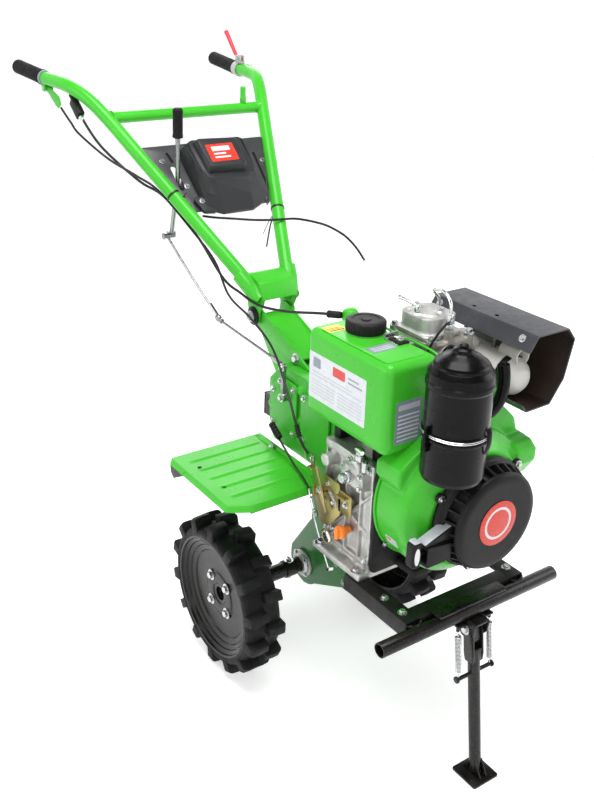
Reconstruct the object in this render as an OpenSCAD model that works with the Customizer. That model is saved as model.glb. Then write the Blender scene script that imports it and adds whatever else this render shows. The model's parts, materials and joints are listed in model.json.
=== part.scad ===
// Walking diesel mini cultivator on two lugged wheels and a front drop leg.
// Layout frame: X forward, Y to the operator's left, Z up, wheel axle over X = 0, ground at Z = 0.

/* [Wheels] */
// Diameter over the tread lugs
tyre_d = 410; // [390:5:430]
// Width of one tyre
tyre_w = 100; // [90:5:110]
// Distance between the outer tyre walls
track_w = 630; // [610:5:650]
// Diameter of the rim under the tyre
rim_d = 320; // [300:5:330]
// Diameter of the wheel bolt circle
wheel_bolt_pcd = 104; // [90:2:120]
// Number of lugs on each half of a tyre
lug_count = 14; // [10:1:18]

/* [Axle and drive case] */
// Diameter of the round part of the axle
axle_d = 30; // [24:1:34]
// Outside diameter of the axle sleeves
sleeve_d = 40; // [38:1:46]
// Half width of the lower drive case
case_half_w = 30; // [28:1:40]
// Gear module
gear_m = 4; // [3:0.5:5]
// Teeth of the axle gear
axle_teeth = 26; // [22:2:30]
// Teeth of the idler gear
idler_teeth = 15; // [13:1:17]

/* [Frame] */
// Height of the top of the frame rails
rail_top = 430; // [410:5:450]
// Leg width of the angle iron
rail_w = 40; // [30:5:50]
// Thickness of the angle iron
rail_t = 4; // [3:0.5:6]
// Distance between the outer faces of the rails
rail_span = 340; // [320:5:360]
// Length of the front bumper tube
bumper_l = 504; // [460:4:540]
// Diameter of the front bumper tube
bumper_d = 33; // [30:1:40]
// Height of the bumper tube
bumper_z = 409; // [400:1:415]

/* [Drop leg] */
// Diameter of the leg tube
leg_d = 28; // [24:1:34]
// Side of the square foot plate
foot_w = 74; // [60:2:90]
// How far the foot stands in front of the leg pivot
leg_rake = 58; // [40:2:70]

/* [Engine] */
// Height of the crankshaft
crank_z = 627; // [620:1:635]
// Sideways offset of the crankshaft
crank_y = 27; // [20:1:32]
// Radius of the round part of the fan shroud
shroud_r = 170; // [165:1:175]
// Radius of the recoil cover
recoil_r = 104; // [98:1:110]
// Length of the fuel tank
tank_l = 276; // [260:2:290]
// Width of the fuel tank
tank_w = 134; // [120:2:136]
// Height of the fuel tank
tank_h = 200; // [190:2:210]
// Radius of the air filter can
filter_r = 66; // [60:1:67]
// Radius of the muffler
muffler_r = 45; // [42:1:48]

/* [Handlebar] */
// Diameter of the handle tubes
bar_d = 34; // [30:1:38]
// Diameter of the crossbar
crossbar_d = 30; // [26:1:34]
// Diameter of the rubber grips
grip_d = 38; // [36:1:42]
// Slope of the lower handle tubes
bar_slope = 41.5; // [38:0.5:45]

/* [Hidden] */
$fn = 64;
// Moves the layout frame so that the origin lies under the middle of the machine.
frame_x = 177.6;
running_gap = 0.05;

// wheels
tyre_r = tyre_d / 2;
axle_z = tyre_r;
rim_r = rim_d / 2;
tyre_out = track_w / 2;
tyre_in = tyre_out - tyre_w;
disc_y = tyre_in + 62;
disc_t = 8;
lug_root = tyre_r - 26;
lug_step = 360 / lug_count;
lug_half = 12;

// drive case
axle_gear_r = gear_m * axle_teeth / 2;
idler_r = gear_m * idler_teeth / 2;
idler_x = 50;
idler_shaft_r = 8;
idler_z = axle_z + sqrt(pow(axle_gear_r + idler_r, 2) - idler_x * idler_x);
mesh_angle = atan2(idler_z - axle_z, idler_x);
gear_half_w = 11;
sump_x = 174;
sump_z = 264;
sump_r = 44;
leg_case = [[30, 225], [150, 240], [168, 552], [20, 552]];

// upper gearbox
box_half_w = 78;
selector_x = -12;
selector_z = 700;
selector_r = 6;
box_side = [[-105, 575], [-80, 552], [170, 552], [180, 575], [180, 745], [150, 765], [-55, 765],
    [-105, 715]];

// frame
rail_y = rail_span / 2;
rail_x0 = 352;
rail_x1 = 563;
bumper_x = 579;
bumper_r = bumper_d / 2;
pivot_x = 592;
pivot_z = 374;
foot_t = 6;
spring_y = 46;
stand_pin_r = 8;

// engine
case_x0 = 222;
case_x1 = 396;
case_y0 = -130;
case_y1 = 150;
case_top = 708;
case_wall = 12;
bearing_r = 30;
journal_r = 20;
cyl_x = 335;
cyl_y = 42;
cyl_r = 56;
head_z = 905;
port_x = 413;
shroud_x0 = 404;
shroud_x1 = 505;
shroud_x2 = 535;
recoil_x0 = 537;
recoil_x1 = 600;
tank_x0 = 171;
tank_y0 = -161;
tank_z0 = 757;
tank_top = tank_z0 + tank_h;
cap_x = 268;
cap_y = -80;
release_x = 194;
release_z = 748;
release_pin_r = 6;
filter_x = 554;
filter_y = -76;
filter_z0 = 747;
filter_mid = 850;
filter_z1 = 975;
muffler_y = 169;
muffler_z = 873;

// handlebar
pivot = [-216, 0, 837];
pitch_pin_r = 8;
bar_base_x = -230;
bar_base_z = 920;
bar_base_y = 50;
bar_spread = 0.3457;
bar_r = bar_d / 2;
bar_foot = [-196, 44, 890];
bar_cross = [-633, 236, 1277];
bar_bend = [bar_foot + 1.09 * (bar_cross - bar_foot), [-765, 288, 1346]];
grip_start = [-888, 302, 1353];
grip_end = [-1040, 314, 1366];
squeeze_x = -872;
squeeze_z = 1328;
lever_y = -120;
lever_waist = [-478, lever_y, 1132];
lever_axis = [-484, lever_y, 1110];
lever_pin_r = 5;
lever_low = [-522, lever_y, 984];
link_joint = [-290, -112, 818];
link_start = [-278, -112, 815];
arm_pin = [-14, -96, 784];
spare_r = 3;
// Route of the loose cable from under the cover to its free end.
spare_path = [
  [-404, -90, 1056], [-393, -61, 1051], [-382, -33, 1048], [-371, -4, 1045], [-359, 24, 1042], [-348, 53, 1040],
  [-338, 82, 1039], [-330, 112, 1039], [-323, 142, 1038], [-316, 172, 1032], [-308, 201, 1024], [-300, 229, 1014],
  [-293, 255, 1000], [-285, 280, 983], [-277, 301, 962], [-269, 319, 938], [-261, 334, 912]
];

// Puts a piece drawn in the layout frame into the part frame.
module place() {
  translate([frame_x, 0, 0]) children();
}

// Draws a piece and its mirror image on the other side of the machine.
module both_sides() {
  children();
  mirror([0, 1, 0]) children();
}

// Round bar between two points.
module bar(a, b, r) {
  d = b - a;
  len = norm(d);
  translate(a) rotate([0, acos(d[2] / len), atan2(d[1], d[0])]) cylinder(h = len, r = r);
}

// Round bar through a list of points, with slightly proud ball joints in the corners.
module bent_bar(points, r) {
  proud = 0.05 * r;
  for (i = [0:len(points) - 2]) bar(points[i], points[i + 1], r);
  for (i = [1:1:len(points) - 2]) translate(points[i]) sphere(r = r + proud);
}

// Cylinders along X, Y and Z.
module along_x(x0, x1, y, z, r, r2 = -1) {
  translate([x0, y, z]) rotate([0, 90, 0]) cylinder(h = x1 - x0, r1 = r, r2 = r2 < 0 ? r : r2);
}
module along_y(y0, y1, x, z, r, r2 = -1) {
  translate([x, y0, z]) rotate([-90, 0, 0]) cylinder(h = y1 - y0, r1 = r, r2 = r2 < 0 ? r : r2);
}
module along_z(z0, z1, x, y, r, r2 = -1) {
  translate([x, y, z0]) cylinder(h = z1 - z0, r1 = r, r2 = r2 < 0 ? r : r2);
}

// Block between two corners.
module block(low, high) {
  translate(low) cube(high - low);
}

// Plate with a side outline in X and Z, from y0 to y1.
module side_plate(outline, y0, y1) {
  translate([0, y1, 0]) rotate([90, 0, 0]) linear_extrude(y1 - y0) polygon(outline);
}

// Rectangle with round corners.
module round_rect(size, r) {
  translate([r, 0]) square([size[0] - 2 * r, size[1]]);
  translate([0, r]) square([size[0], size[1] - 2 * r]);
  for (x = [r, size[0] - r], y = [r, size[1] - r]) translate([x, y]) circle(r);
}

// Hexagon bolt head with a washer, looking along -Y, with its seat at y.
module bolt_y(x, y, z, r = 6) {
  along_y(y - 2, y, x, z, r * 1.5);
  translate([x, y - 2, z]) rotate([90, 0, 0]) cylinder(h = r, r = r * 1.1, $fn = 6);
}

// Hexagon bolt head with a washer, looking along +X, with its seat at x.
module bolt_x(x, y, z, r = 5) {
  along_x(x, x + 2, y, z, r * 1.5);
  translate([x + 2, y, z]) rotate([0, 90, 0]) cylinder(h = r, r = r * 1.1, $fn = 6);
}

// Flat ring turned about the axle line, between radii r0 and r1 and distances y0 and y1 from the middle.
module wheel_ring(r0, r1, y0, y1) {
  difference() {
    along_y(y0, y1, 0, axle_z, r1, $fn = 128);
    along_y(y0 - 1, y1 + 1, 0, axle_z, r0, $fn = 128);
  }
}

// Spur gear about Y with straight-sided teeth; a tooth points at the angle phase in the XZ plane.
module spur_gear(x, z, teeth, phase, y0, y1) {
  pitch = gear_m * teeth / 2;
  tip = pitch + 0.8 * gear_m;
  root = pitch - gear_m;
  half_root = 0.24 * 360 / teeth;
  half_tip = 0.12 * 360 / teeth;
  outline = [for (k = [0:teeth - 1], s = [[root, -half_root], [tip, -half_tip], [tip, half_tip],
      [root, half_root]])
    let (a = phase + k * 360 / teeth + s[1]) [x + s[0] * cos(a), z + s[0] * sin(a)]];
  side_plate(outline, y0, y1);
}

module chassis_frame() {
  color("#1c1a18") place() {
    both_sides() {
      block([rail_x0, rail_y - rail_w, rail_top - rail_t], [rail_x1, rail_y, rail_top]);
      block([rail_x0, rail_y - rail_t, rail_top - rail_w], [rail_x1, rail_y, rail_top]);
    }
    block([rail_x1 - rail_w, -rail_y, rail_top - rail_t], [rail_x1, rail_y, rail_top]);
    block([rail_x1 - rail_t, -rail_y, rail_top - rail_w], [rail_x1, rail_y, rail_top]);
    block([rail_x0, -rail_y, rail_top - rail_t], [rail_x0 + rail_w, rail_y, rail_top]);
    block([rail_x1 - 6, -96, rail_top - 6], [rail_x1 + 22, 96, rail_top]);
  }
}

module bumper_tube() {
  ear_y = 17;
  ear_outline = [[564, 394.5], [620, 394.5], [616, 366], [604, 350], [580, 350], [568, 366]];
  color("#1c1a18") place() {
    difference() {
      along_y(-bumper_l / 2, bumper_l / 2, bumper_x, bumper_z, bumper_r);
      along_y(-bumper_l / 2 - 1, bumper_l / 2 + 1, bumper_x, bumper_z, bumper_r - 3);
    }
    difference() {
      union() {
        both_sides() side_plate(ear_outline, ear_y, ear_y + 5);
        block([564, -ear_y, 389], [620, ear_y, 394.5]);
      }
      along_y(-40, 40, pivot_x, pivot_z, stand_pin_r + running_gap);
    }
    both_sides() {
      block([584, ear_y, 388], [600, spring_y + 6, 394]);
      along_z(378, 388, 592, spring_y, 4);
    }
  }
}

module drive_case() {
  color("#2f9e3c") place() difference() {
    union() {
      side_plate(leg_case, -case_half_w, case_half_w);
      along_y(-case_half_w, case_half_w, 0, axle_z, 66);
      along_y(-case_half_w, case_half_w, sump_x, sump_z, sump_r);
      side_plate([[0, axle_z - 66], [sump_x - 10, sump_z - 43], [sump_x - 10, sump_z + 43], [20, 330]],
        -case_half_w, case_half_w);
      side_plate([[-62, 228], [0, 228], [40, 330], [22, 350]], -case_half_w, case_half_w);
    }
    along_y(-case_half_w - 1, case_half_w + 1, 0, axle_z, 26);
    along_y(-14, 14, 0, axle_z, axle_gear_r + 7);
    along_y(-14, 14, idler_x, idler_z, idler_r + 7);
    along_y(-22, 22, idler_x, idler_z, idler_shaft_r + running_gap);
    along_y(-22, 22, sump_x, sump_z, sump_r - 9);
    side_plate([[60, 300], [130, 262], [150, 262], [156, 553], [32, 553], [40, 320]], -22, 22);
  }
}

module gearbox_case() {
  cover_side = [[-90, 590], [160, 590], [160, 730], [-50, 745], [-90, 700]];
  wall = 9;
  color("#45d84a") place() difference() {
    union() {
      side_plate(box_side, -box_half_w, box_half_w);
      both_sides() side_plate(cover_side, box_half_w, box_half_w + 5);
      side_plate([[60, 765], [130, 765], [110, 790], [80, 790]], -40, 40);
    }
    block([-92, wall - box_half_w, 588], [168, box_half_w - wall, 712]);
    block([-40, wall - box_half_w, 560], [168, box_half_w - wall, 756]);
    block([32, -22, 551], [156, 22, 561]);
    along_x(167, 181, crank_y, crank_z, 30);
    along_y(-90, -60, selector_x, selector_z, selector_r + running_gap);
  }
}

module axle_caps() {
  color("#b9bbb6") place() both_sides() difference() {
    union() {
      along_y(case_half_w, case_half_w + 8, 0, axle_z, 38);
      along_y(case_half_w + 8, case_half_w + 16, 0, axle_z, 29);
    }
    along_y(case_half_w - 1, case_half_w + 17, 0, axle_z, axle_d / 2 + 0.6);
  }
}

module axle_bearings() {
  color("#c8cacb") place() both_sides() difference() {
    along_y(16, case_half_w, 0, axle_z, 26);
    along_y(15, case_half_w + 1, 0, axle_z, axle_d / 2 + running_gap);
  }
}

module clutch_housing() {
  color("#3cbf42") place() {
    difference() {
      along_x(180, case_x0, crank_y, crank_z, 74, 108);
      along_x(179, case_x0 + 1, crank_y, crank_z, 66);
    }
    block([181, -50, 697], [212, 92, 722]);
    difference() {
      block([release_x - 12, -2, 721], [release_x + 12, 30, release_z + 12]);
      block([release_x - 13, 6, release_z - 13], [release_x + 13, 22, release_z + 13]);
      along_y(-3, 31, release_x, release_z, release_pin_r + running_gap);
    }
  }
}

module crankcase() {
  rib_t = 4;
  color("#c9cac6") place() {
    difference() {
      union() {
        block([case_x0, case_y0, 446], [case_x1, case_y1, case_top]);
        block([case_x0, -rail_y + 2, rail_top], [case_x1, rail_y - 2, rail_top + 16]);
      }
      along_x(case_x0 - 1, case_x1 + 1, crank_y, crank_z, bearing_r);
      block([case_x0 + case_wall, case_y0 + case_wall, 470],
          [case_x1 - case_wall, case_y1 - case_wall, case_top - case_wall]);
    }
    for (x = [250, 300, 350]) block([x, case_y0 - 9, 446], [x + rib_t, case_y0, 610]);
    block([case_x0, case_y0 - 12, 690], [case_x1, case_y0, case_top]);
    along_y(case_y0 - 26, case_y0, 268, 478, 15);
    along_y(case_y0 - 34, case_y0, 252, 668, 14);
    block([300, case_y0 - 22, 640], [372, case_y0, 684]);
  }
}

module crank_bearings() {
  color("#c8cacb") place() for (x = [case_x0, case_x1 - case_wall]) difference() {
    along_x(x, x + case_wall, crank_y, crank_z, bearing_r);
    along_x(x - 1, x + case_wall + 1, crank_y, crank_z, journal_r + running_gap);
  }
}

module case_gasket() {
  color("#202020") place() difference() {
    block([case_x1, case_y0 - 8, 444], [shroud_x0, case_y1, 716]);
    along_x(case_x1 - 1, shroud_x0 + 1, crank_y, crank_z, 60);
  }
}

module cylinder_barrel() {
  fin_count = 12;
  fin_pitch = 15.5;
  color("#a8aaa6") place() {
    difference() {
      union() {
        along_z(case_top, head_z, cyl_x, cyl_y, cyl_r - 4);
        for (i = [0:fin_count - 1])
          translate([cyl_x - cyl_r - 8, cyl_y - cyl_r - 5, case_top + 10 + i * fin_pitch])
            linear_extrude(4) round_rect([2 * cyl_r + 16, 2 * cyl_r + 12], 22);
      }
      along_z(case_top - 1, head_z + 1, cyl_x, cyl_y, 43);
    }
  }
}

module cylinder_head() {
  color("#8d8a80") place() {
    translate([cyl_x - 66, -14, head_z]) linear_extrude(52) round_rect([134, 118], 12);
    along_x(cyl_x + 60, cyl_x + 78, 26, 930, 19);
    along_y(100, 122, cyl_x + 20, 930, 20);
    along_z(957, 984, 392, 40, 11);
  }
}

module rocker_cover() {
  color("#c4c4c2") place() {
    translate([cyl_x - 64, -12, 957]) linear_extrude(10) round_rect([112, 104], 14);
    translate([cyl_x - 56, -6, 967]) linear_extrude(38) round_rect([98, 92], 20);
    along_z(1005, 1013, 300, 30, 8);
    along_z(1005, 1013, 352, 52, 8);
  }
}

module fan_shroud() {
  duct = [[470, 640], [505, 655], [532, 695], [532, 726], [512, 742], [470, 748]];
  neck = [[-60, 600], [-142, 700], [-142, 735], [-60, 790], [20, 868], [118, 868], [126, 826], [146, 812],
    [180, 780], [192, 745], [197, 700], [150, 600]];
  duct_inside = [[24, 700], [24, 869], [112, 869], [120, 820], [140, 804], [170, 774], [180, 742],
      [165, 700]];
  color("#45d84a") place() difference() {
    union() {
      along_x(shroud_x0, shroud_x1, crank_y, crank_z, shroud_r, $fn = 128);
      along_x(shroud_x1, shroud_x2, crank_y, crank_z, shroud_r, 128, $fn = 128);
      translate([shroud_x0, 0, 0]) rotate([90, 0, 90]) linear_extrude(78) polygon(neck);
      side_plate(duct, 170, 202);
    }
    along_z(740, 900, filter_x, filter_y, filter_r + 1);
    block([403, tank_y0 - 1, tank_z0 - 0.5], [tank_x0 + tank_l + 0.5, tank_y0 + tank_w + 0.5,
        tank_z0 + 80]);
    along_x(shroud_x0 + 8, shroud_x1 - 6, crank_y, crank_z, 158);
    along_x(shroud_x1 - 7, shroud_x2 + 1, crank_y, crank_z, 116);
    along_x(shroud_x0 - 1, shroud_x0 + 9, crank_y, crank_z, 60);
    translate([shroud_x0 + 8, 0, 0]) rotate([90, 0, 90])
      linear_extrude(62) polygon(duct_inside);
    block([shroud_x0 - 1, 30, 740], [shroud_x0 + 9, 104, 850]);
  }
}

module recoil_housing() {
  slot_count = 20;
  color("#171717") place() difference() {
    union() {
      along_x(recoil_x0, 562, crank_y, crank_z, 124, $fn = 128);
      along_x(562, 592, crank_y, crank_z, 112, recoil_r, $fn = 128);
      along_x(592, recoil_x1, crank_y, crank_z, recoil_r, recoil_r - 4, $fn = 128);
      block([540, -146, 566], [582, -70, 616]);
    }
    along_x(recoil_x0 - 1, 556, crank_y, crank_z, 117);
    along_x(555, 594, crank_y, crank_z, 96);
    for (k = [0:slot_count - 1]) translate([563, crank_y, crank_z]) rotate([k * 360 / slot_count, 0, 0])
      translate([0, -4, 90]) cube([18, 8, 30]);
    block([547, -147, 573], [575, 0, 609]);
  }
}

module fuel_tank() {
  wall = 1.5;
  neck_r = 21;
  color("#45d84a") place() {
    difference() {
      union() {
        translate([tank_x0, tank_y0 + tank_w, tank_z0]) rotate([90, 0, 0])
          linear_extrude(tank_w) round_rect([tank_l, tank_h], 22);
        along_z(tank_top, tank_top + 3, cap_x, cap_y, 34);
      }
      translate([tank_x0 + wall, tank_y0 + tank_w - wall, tank_z0 + wall]) rotate([90, 0, 0])
        linear_extrude(tank_w - 2 * wall) round_rect([tank_l - 2 * wall, tank_h - 2 * wall], 22 - wall);
      along_z(tank_top - 5, tank_top + 4, cap_x, cap_y, neck_r);
    }
    block([tank_x0 + 20, tank_y0 + tank_w - 8, tank_top - 4],
        [tank_x0 + tank_l - 24, tank_y0 + tank_w, tank_top + 8]);
    block([320, -72, tank_top - 1], [362, -38, tank_top + 20]);
    block([228, -120, case_top], [250, -60, tank_z0]);
    block([362, -120, case_top], [384, -60, tank_z0]);
  }
}

module air_filter_can() {
  hood_r = 54;
  hood_z = filter_z1 + 19;
  color("#151515") place() difference() {
    union() {
      along_z(filter_mid + 3, filter_z1, filter_x, filter_y, filter_r);
      along_z(filter_z1, filter_z1 + 10, filter_x, filter_y, filter_r, hood_r + 2);
      along_z(filter_z1 + 10, hood_z, filter_x, filter_y, hood_r);
      along_z(hood_z, hood_z + 26, filter_x, filter_y, hood_r, 14);
      along_z(hood_z + 26, hood_z + 36, filter_x, filter_y, 9);
      along_z(filter_mid - 3, filter_mid + 3, filter_x, filter_y, filter_r + 3);
    }
    along_z(filter_mid - 4, filter_z1 - 2, filter_x, filter_y, filter_r - 2);
  }
}

module air_filter_bowl() {
  color("#151515") place() difference() {
    union() {
      along_z(filter_z0 + 8, filter_mid - 3, filter_x, filter_y, filter_r - 2);
      along_z(filter_z0, filter_z0 + 8, filter_x, filter_y, filter_r - 12, filter_r - 2);
    }
    along_z(filter_z0 + 10, filter_mid - 2, filter_x, filter_y, filter_r - 4);
  }
}

module intake_elbow() {
  color("#1b1b1b") place() {
    along_x(port_x, port_x + 8, 26, 930, 27);
    along_x(port_x, port_x + 30, 26, 930, 24);
    bar([port_x + 15, 24, 929], [500, -30, 916], 18.4);
  }
}

module muffler() {
  dome_x = 452;
  flange_y = 122.05;
  color("#d8d6cf") place() {
    difference() {
      along_x(290, dome_x, muffler_y, muffler_z, muffler_r);
      along_x(294, dome_x + 1, muffler_y, muffler_z, muffler_r - 3);
      along_x(289, 295, muffler_y, muffler_z, 14);
    }
    translate([dome_x, muffler_y, muffler_z]) intersection() {
      scale(muffler_r / 40) sphere(40, $fn = 96);
      block([0, -80, -80], [80, 80, 80]);
    }
    along_y(flange_y, flange_y + 6, cyl_x + 20, 930, 26);
    along_y(flange_y, muffler_y - 13, cyl_x + 20, 930, 16);
    along_z(muffler_z + 20, 949, cyl_x + 20, muffler_y - 13, 19);
    along_x(dome_x - 10, dome_x - 4, muffler_y, muffler_z, muffler_r + 1.5);
    along_x(424, 478, muffler_y + 8, muffler_z + muffler_r + 2, 19);
  }
}

module muffler_shield() {
  outline = [[131, 958], [152, 990], [242, 990], [266, 962], [249, 876], [214, 824], [143, 822], [130, 838],
    [132.5, 839.5], [144.5, 825], [213, 827], [246.5, 877], [263, 961], [241, 987], [154, 987], [133, 957]];
  color("#4a4d57") place() {
    translate([226, 0, 0]) rotate([90, 0, 90]) linear_extrude(308) polygon(outline);
    for (x = [330, 400]) along_z(muffler_z + muffler_r + 0.05, 988, x, muffler_y, 5);
  }
}

module injection_gear() {
  color("#d9dadb") place() {
    along_y(case_y0 - 30, case_y0, 352, 700, 16);
    bent_bar([[352, case_y0 - 10, 712], [352, -166, 740], [388, -168, 748]], 5);
    along_z(984, 1010, 392, 40, 8);
    bent_bar([[392, 40, 1006], [386, 44, 1034], [352, 50, 1050], [316, 56, 1040], [296, 96, 1010],
        [296, 100, 940]], 3.5);
  }
}

module governor_bracket() {
  plate = [[182, 622], [292, 622], [300, 590], [300, 548], [262, 500], [228, 492], [200, 560]];
  color("#b99a4e") place() {
    side_plate(plate, -150, -146);
    block([292, -150, 552], [340, -140, 612]);
    along_y(-158, -150, 240, 588, 9);
    along_y(-146, case_y0, 240, 560, 10);
    along_y(-146, case_y0, 278, 570, 9);
    block([184, -150, 616], [198, -146, 650]);
  }
}

module oil_plug() {
  color("#f07a1c") place() {
    along_y(-150, case_y0, 312, 512, 9);
    along_y(-162, -150, 312, 512, 15);
    block([306, -170, 496], [318, -160, 528]);
  }
}

module fenders() {
  top_z = 552;
  sheet_t = 2.5;
  lip_h = 16;
  rear_x = -132;
  front_x = 174;
  side_y = 350;
  color("#45d84a") place() both_sides() {
    translate([0, 0, top_z - sheet_t]) linear_extrude(sheet_t)
      polygon([[rear_x, 88], [front_x, 88], [front_x, 298], [140, side_y], [rear_x + 12, side_y],
          [rear_x, side_y - 12]]);
    block([rear_x, 100, top_z - lip_h], [rear_x + sheet_t, side_y - 12, top_z - sheet_t]);
    block([front_x - sheet_t, 100, top_z - lip_h], [front_x, 296, top_z - sheet_t]);
    block([rear_x + 12, side_y - sheet_t, top_z - lip_h], [140, side_y, top_z - sheet_t]);
    for (x = [-70, -20, 30, 80]) block([x, 120, top_z], [x + 8, 320, top_z + 3]);
  }
}

module fender_stays() {
  color("#1c1a18") place() both_sides() {
    block([120, 60, 528], [166, 300, 532]);
    block([120, 60, 514], [124, 150, 530]);
    block([-60, 76, 536], [-30, 347.4, 540]);
    side_plate([[-128, 540], [-30, 540], [-60, 534], [-112, 503], [-126, 515]], 344.5, 347.4);
    block([120, 80, 532], [160, 110, 549]);
    block([-60, 84, 540], [-30, 110, 549]);
  }
}

module handle_seat() {
  cheek = [[-238, 824], [-230, 858], [-206, 862], [-20, 790], [30, 765], [-55, 765], [-105, 715],
      [-105, 690],
    [-196, 800]];
  seat_y = 44;
  color("#45d84a") place() {
    difference() {
      both_sides() side_plate(cheek, seat_y - 6, seat_y);
      along_y(-50, 50, pivot[0], pivot[2], pitch_pin_r + running_gap);
    }
    side_plate([[-190, 846], [-186, 852], [-20, 784], [-20, 777]], -seat_y + 6, seat_y - 6);
    side_plate([[-105, 700], [-105, 712], [-176, 790], [-182, 786]], -seat_y + 6, seat_y - 6);
  }
}

module hitch_socket() {
  color("#1c1a18") place() difference() {
    union() {
      block([-196, -30, 566], [-105, 30, 626]);
      block([-111, -46, 560], [-105, 46, 632]);
    }
    block([-197, -24, 572], [-117, 24, 620]);
    along_z(560, 632, -160, 0, 8);
  }
}

module fasteners() {
  color("#cfd1d2") place() {
    both_sides() {
      for (x = [case_x0 + 20, case_x1 - 20]) along_z(rail_top + 16, rail_top + 26, x, rail_y - 18, 8,
          $fn = 6);
      for (x = [-75, 40, 145], z = [604, 722 - abs(x) / 12]) bolt_y(x, -box_half_w - 5, z, 5);
      for (a = [45:90:315]) bolt_y(32 * cos(a), -case_half_w - 8, axle_z + 32 * sin(a), 3);
    }
    bolt_x(shroud_x0 + 2, -128, 704, 4);
    bolt_y(-36, -44, 781, 7);
    bolt_y(sump_x, -case_half_w, sump_z - 20, 7);
    along_y(148, 152, 462, 968, 8);
  }
}

module axle_shaft() {
  color("#b4b6b8") place() {
    along_y(-60, 60, 0, axle_z, axle_d / 2);
    both_sides() translate([0, 60, axle_z]) rotate([-90, 0, 0]) cylinder(h = disc_y - 52, r = 17, $fn = 6);
  }
}

module axle_gear() {
  color("#8f9294") place() difference() {
    spur_gear(0, axle_z, axle_teeth, mesh_angle, -gear_half_w, gear_half_w);
    along_y(-gear_half_w - 1, gear_half_w + 1, 0, axle_z, axle_d / 2);
  }
}

module axle_sleeves() {
  color("#191715") place() both_sides() difference() {
    union() {
      along_y(case_half_w + 18, disc_y, 0, axle_z, sleeve_d / 2);
      along_y(disc_y - 10, disc_y, 0, axle_z, 68);
    }
    along_y(case_half_w + 17, disc_y + 1, 0, axle_z, 17.5);
    for (a = [45:90:315])
      along_y(disc_y - 11, disc_y + 1, wheel_bolt_pcd / 2 * cos(a),
          axle_z + wheel_bolt_pcd / 2 * sin(a), 5.5);
  }
}

module wheel_rims() {
  color("#242220") place() both_sides() difference() {
    union() {
      wheel_ring(rim_r - 8, rim_r, tyre_in, tyre_out - 3);
      wheel_ring(rim_r - 18, rim_r - 8, disc_y + 17, disc_y + 24);
      wheel_ring(rim_r - 30, rim_r - 18, disc_y + 9, disc_y + 17);
      wheel_ring(rim_r - 44, rim_r - 30, disc_y + 4, disc_y + 12);
      wheel_ring(17.5, rim_r - 44, disc_y, disc_y + disc_t);
    }
    for (a = [45:90:315])
      along_y(disc_y - 1, disc_y + 10, wheel_bolt_pcd / 2 * cos(a),
          axle_z + wheel_bolt_pcd / 2 * sin(a), 5.5);
  }
}

module tyres() {
  shoulder = 12;
  color("#1d1e20") place() both_sides() {
    wheel_ring(rim_r, lug_root - 6, tyre_in + 2, tyre_out - 2);
    wheel_ring(rim_r, lug_root, tyre_in + shoulder, tyre_out - shoulder);
    for (k = [0:lug_count - 1], side = [0, 1])
      translate([0, 0, axle_z]) rotate([0, 90 + (k + side / 2) * lug_step, 0])
        translate([lug_root - 8, side == 0 ? tyre_in + tyre_w / 2 : tyre_in, -lug_half])
          cube([tyre_r - lug_root + 8, tyre_w / 2, 2 * lug_half]);
  }
}

module wheel_bolts() {
  color("#d5d7d8") place() both_sides() for (a = [45:90:315])
    translate([wheel_bolt_pcd / 2 * cos(a), 0, axle_z + wheel_bolt_pcd / 2 * sin(a)]) {
      along_y(disc_y - 14, disc_y + disc_t, 0, 0, 5.5);
      translate([0, disc_y + disc_t, 0]) rotate([-90, 0, 0]) cylinder(h = 7, r = 10, $fn = 6);
      translate([0, disc_y - 17, 0]) rotate([-90, 0, 0]) cylinder(h = 7, r = 10, $fn = 6);
    }
}

module idler_gear() {
  color("#8f9294") place() {
    spur_gear(idler_x, idler_z, idler_teeth, mesh_angle + 180 + 180 / idler_teeth, -gear_half_w,
        gear_half_w);
    along_y(-21, 21, idler_x, idler_z, idler_shaft_r);
  }
}

module crankshaft() {
  color("#9a9c9e") place() {
    along_x(case_x0 - 36, shroud_x0 + 20, crank_y, crank_z, journal_r);
    for (x = [286, 316]) along_x(x, x + 14, crank_y, crank_z, 58);
    along_x(shroud_x0 + 19, shroud_x1 + 20, crank_y, crank_z, 16);
  }
}

module clutch_pack() {
  color("#6f7072") place() difference() {
    union() {
      along_x(case_x0 - 32, case_x0 - 18, crank_y, crank_z, 60);
      along_x(case_x0 - 18, case_x0 - 4, crank_y, crank_z, 34);
    }
    along_x(case_x0 - 33, case_x0 - 3, crank_y, crank_z, journal_r);
  }
}

module flywheel() {
  blade_count = 12;
  color("#8b8d8e") place() difference() {
    union() {
      along_x(430, 462, crank_y, crank_z, 112, $fn = 96);
      for (k = [0:blade_count - 1]) translate([462, crank_y, crank_z]) rotate([k * 360 / blade_count, 0, 0])
        translate([0, 50, -3]) cube([26, 60, 6]);
    }
    along_x(429, 463, crank_y, crank_z, 16);
  }
}

module pull_handle() {
  color("#1a1a1a") place() {
    translate([548, -178, 566]) rotate([90, 0, 90]) linear_extrude(26) round_rect([26, 64], 10);
    along_y(-153, -60, 561, 592, 2.5);
  }
}

module handle_tubes() {
  wall = 3;
  lower_run = bar_cross - bar_foot;
  color("#45d84a") place() {
    both_sides() difference() {
      union() {
        bent_bar(concat([bar_foot], bar_bend, [grip_start]), bar_r);
        bar(grip_start + [10, -0.8, -0.9], grip_end + [8, 0, 0], bar_r - 5);
      }
      bar(bar_foot + 0.05 * lower_run, bar_foot + 0.95 * lower_run, bar_r - wall);
    }
  }
}

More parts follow.
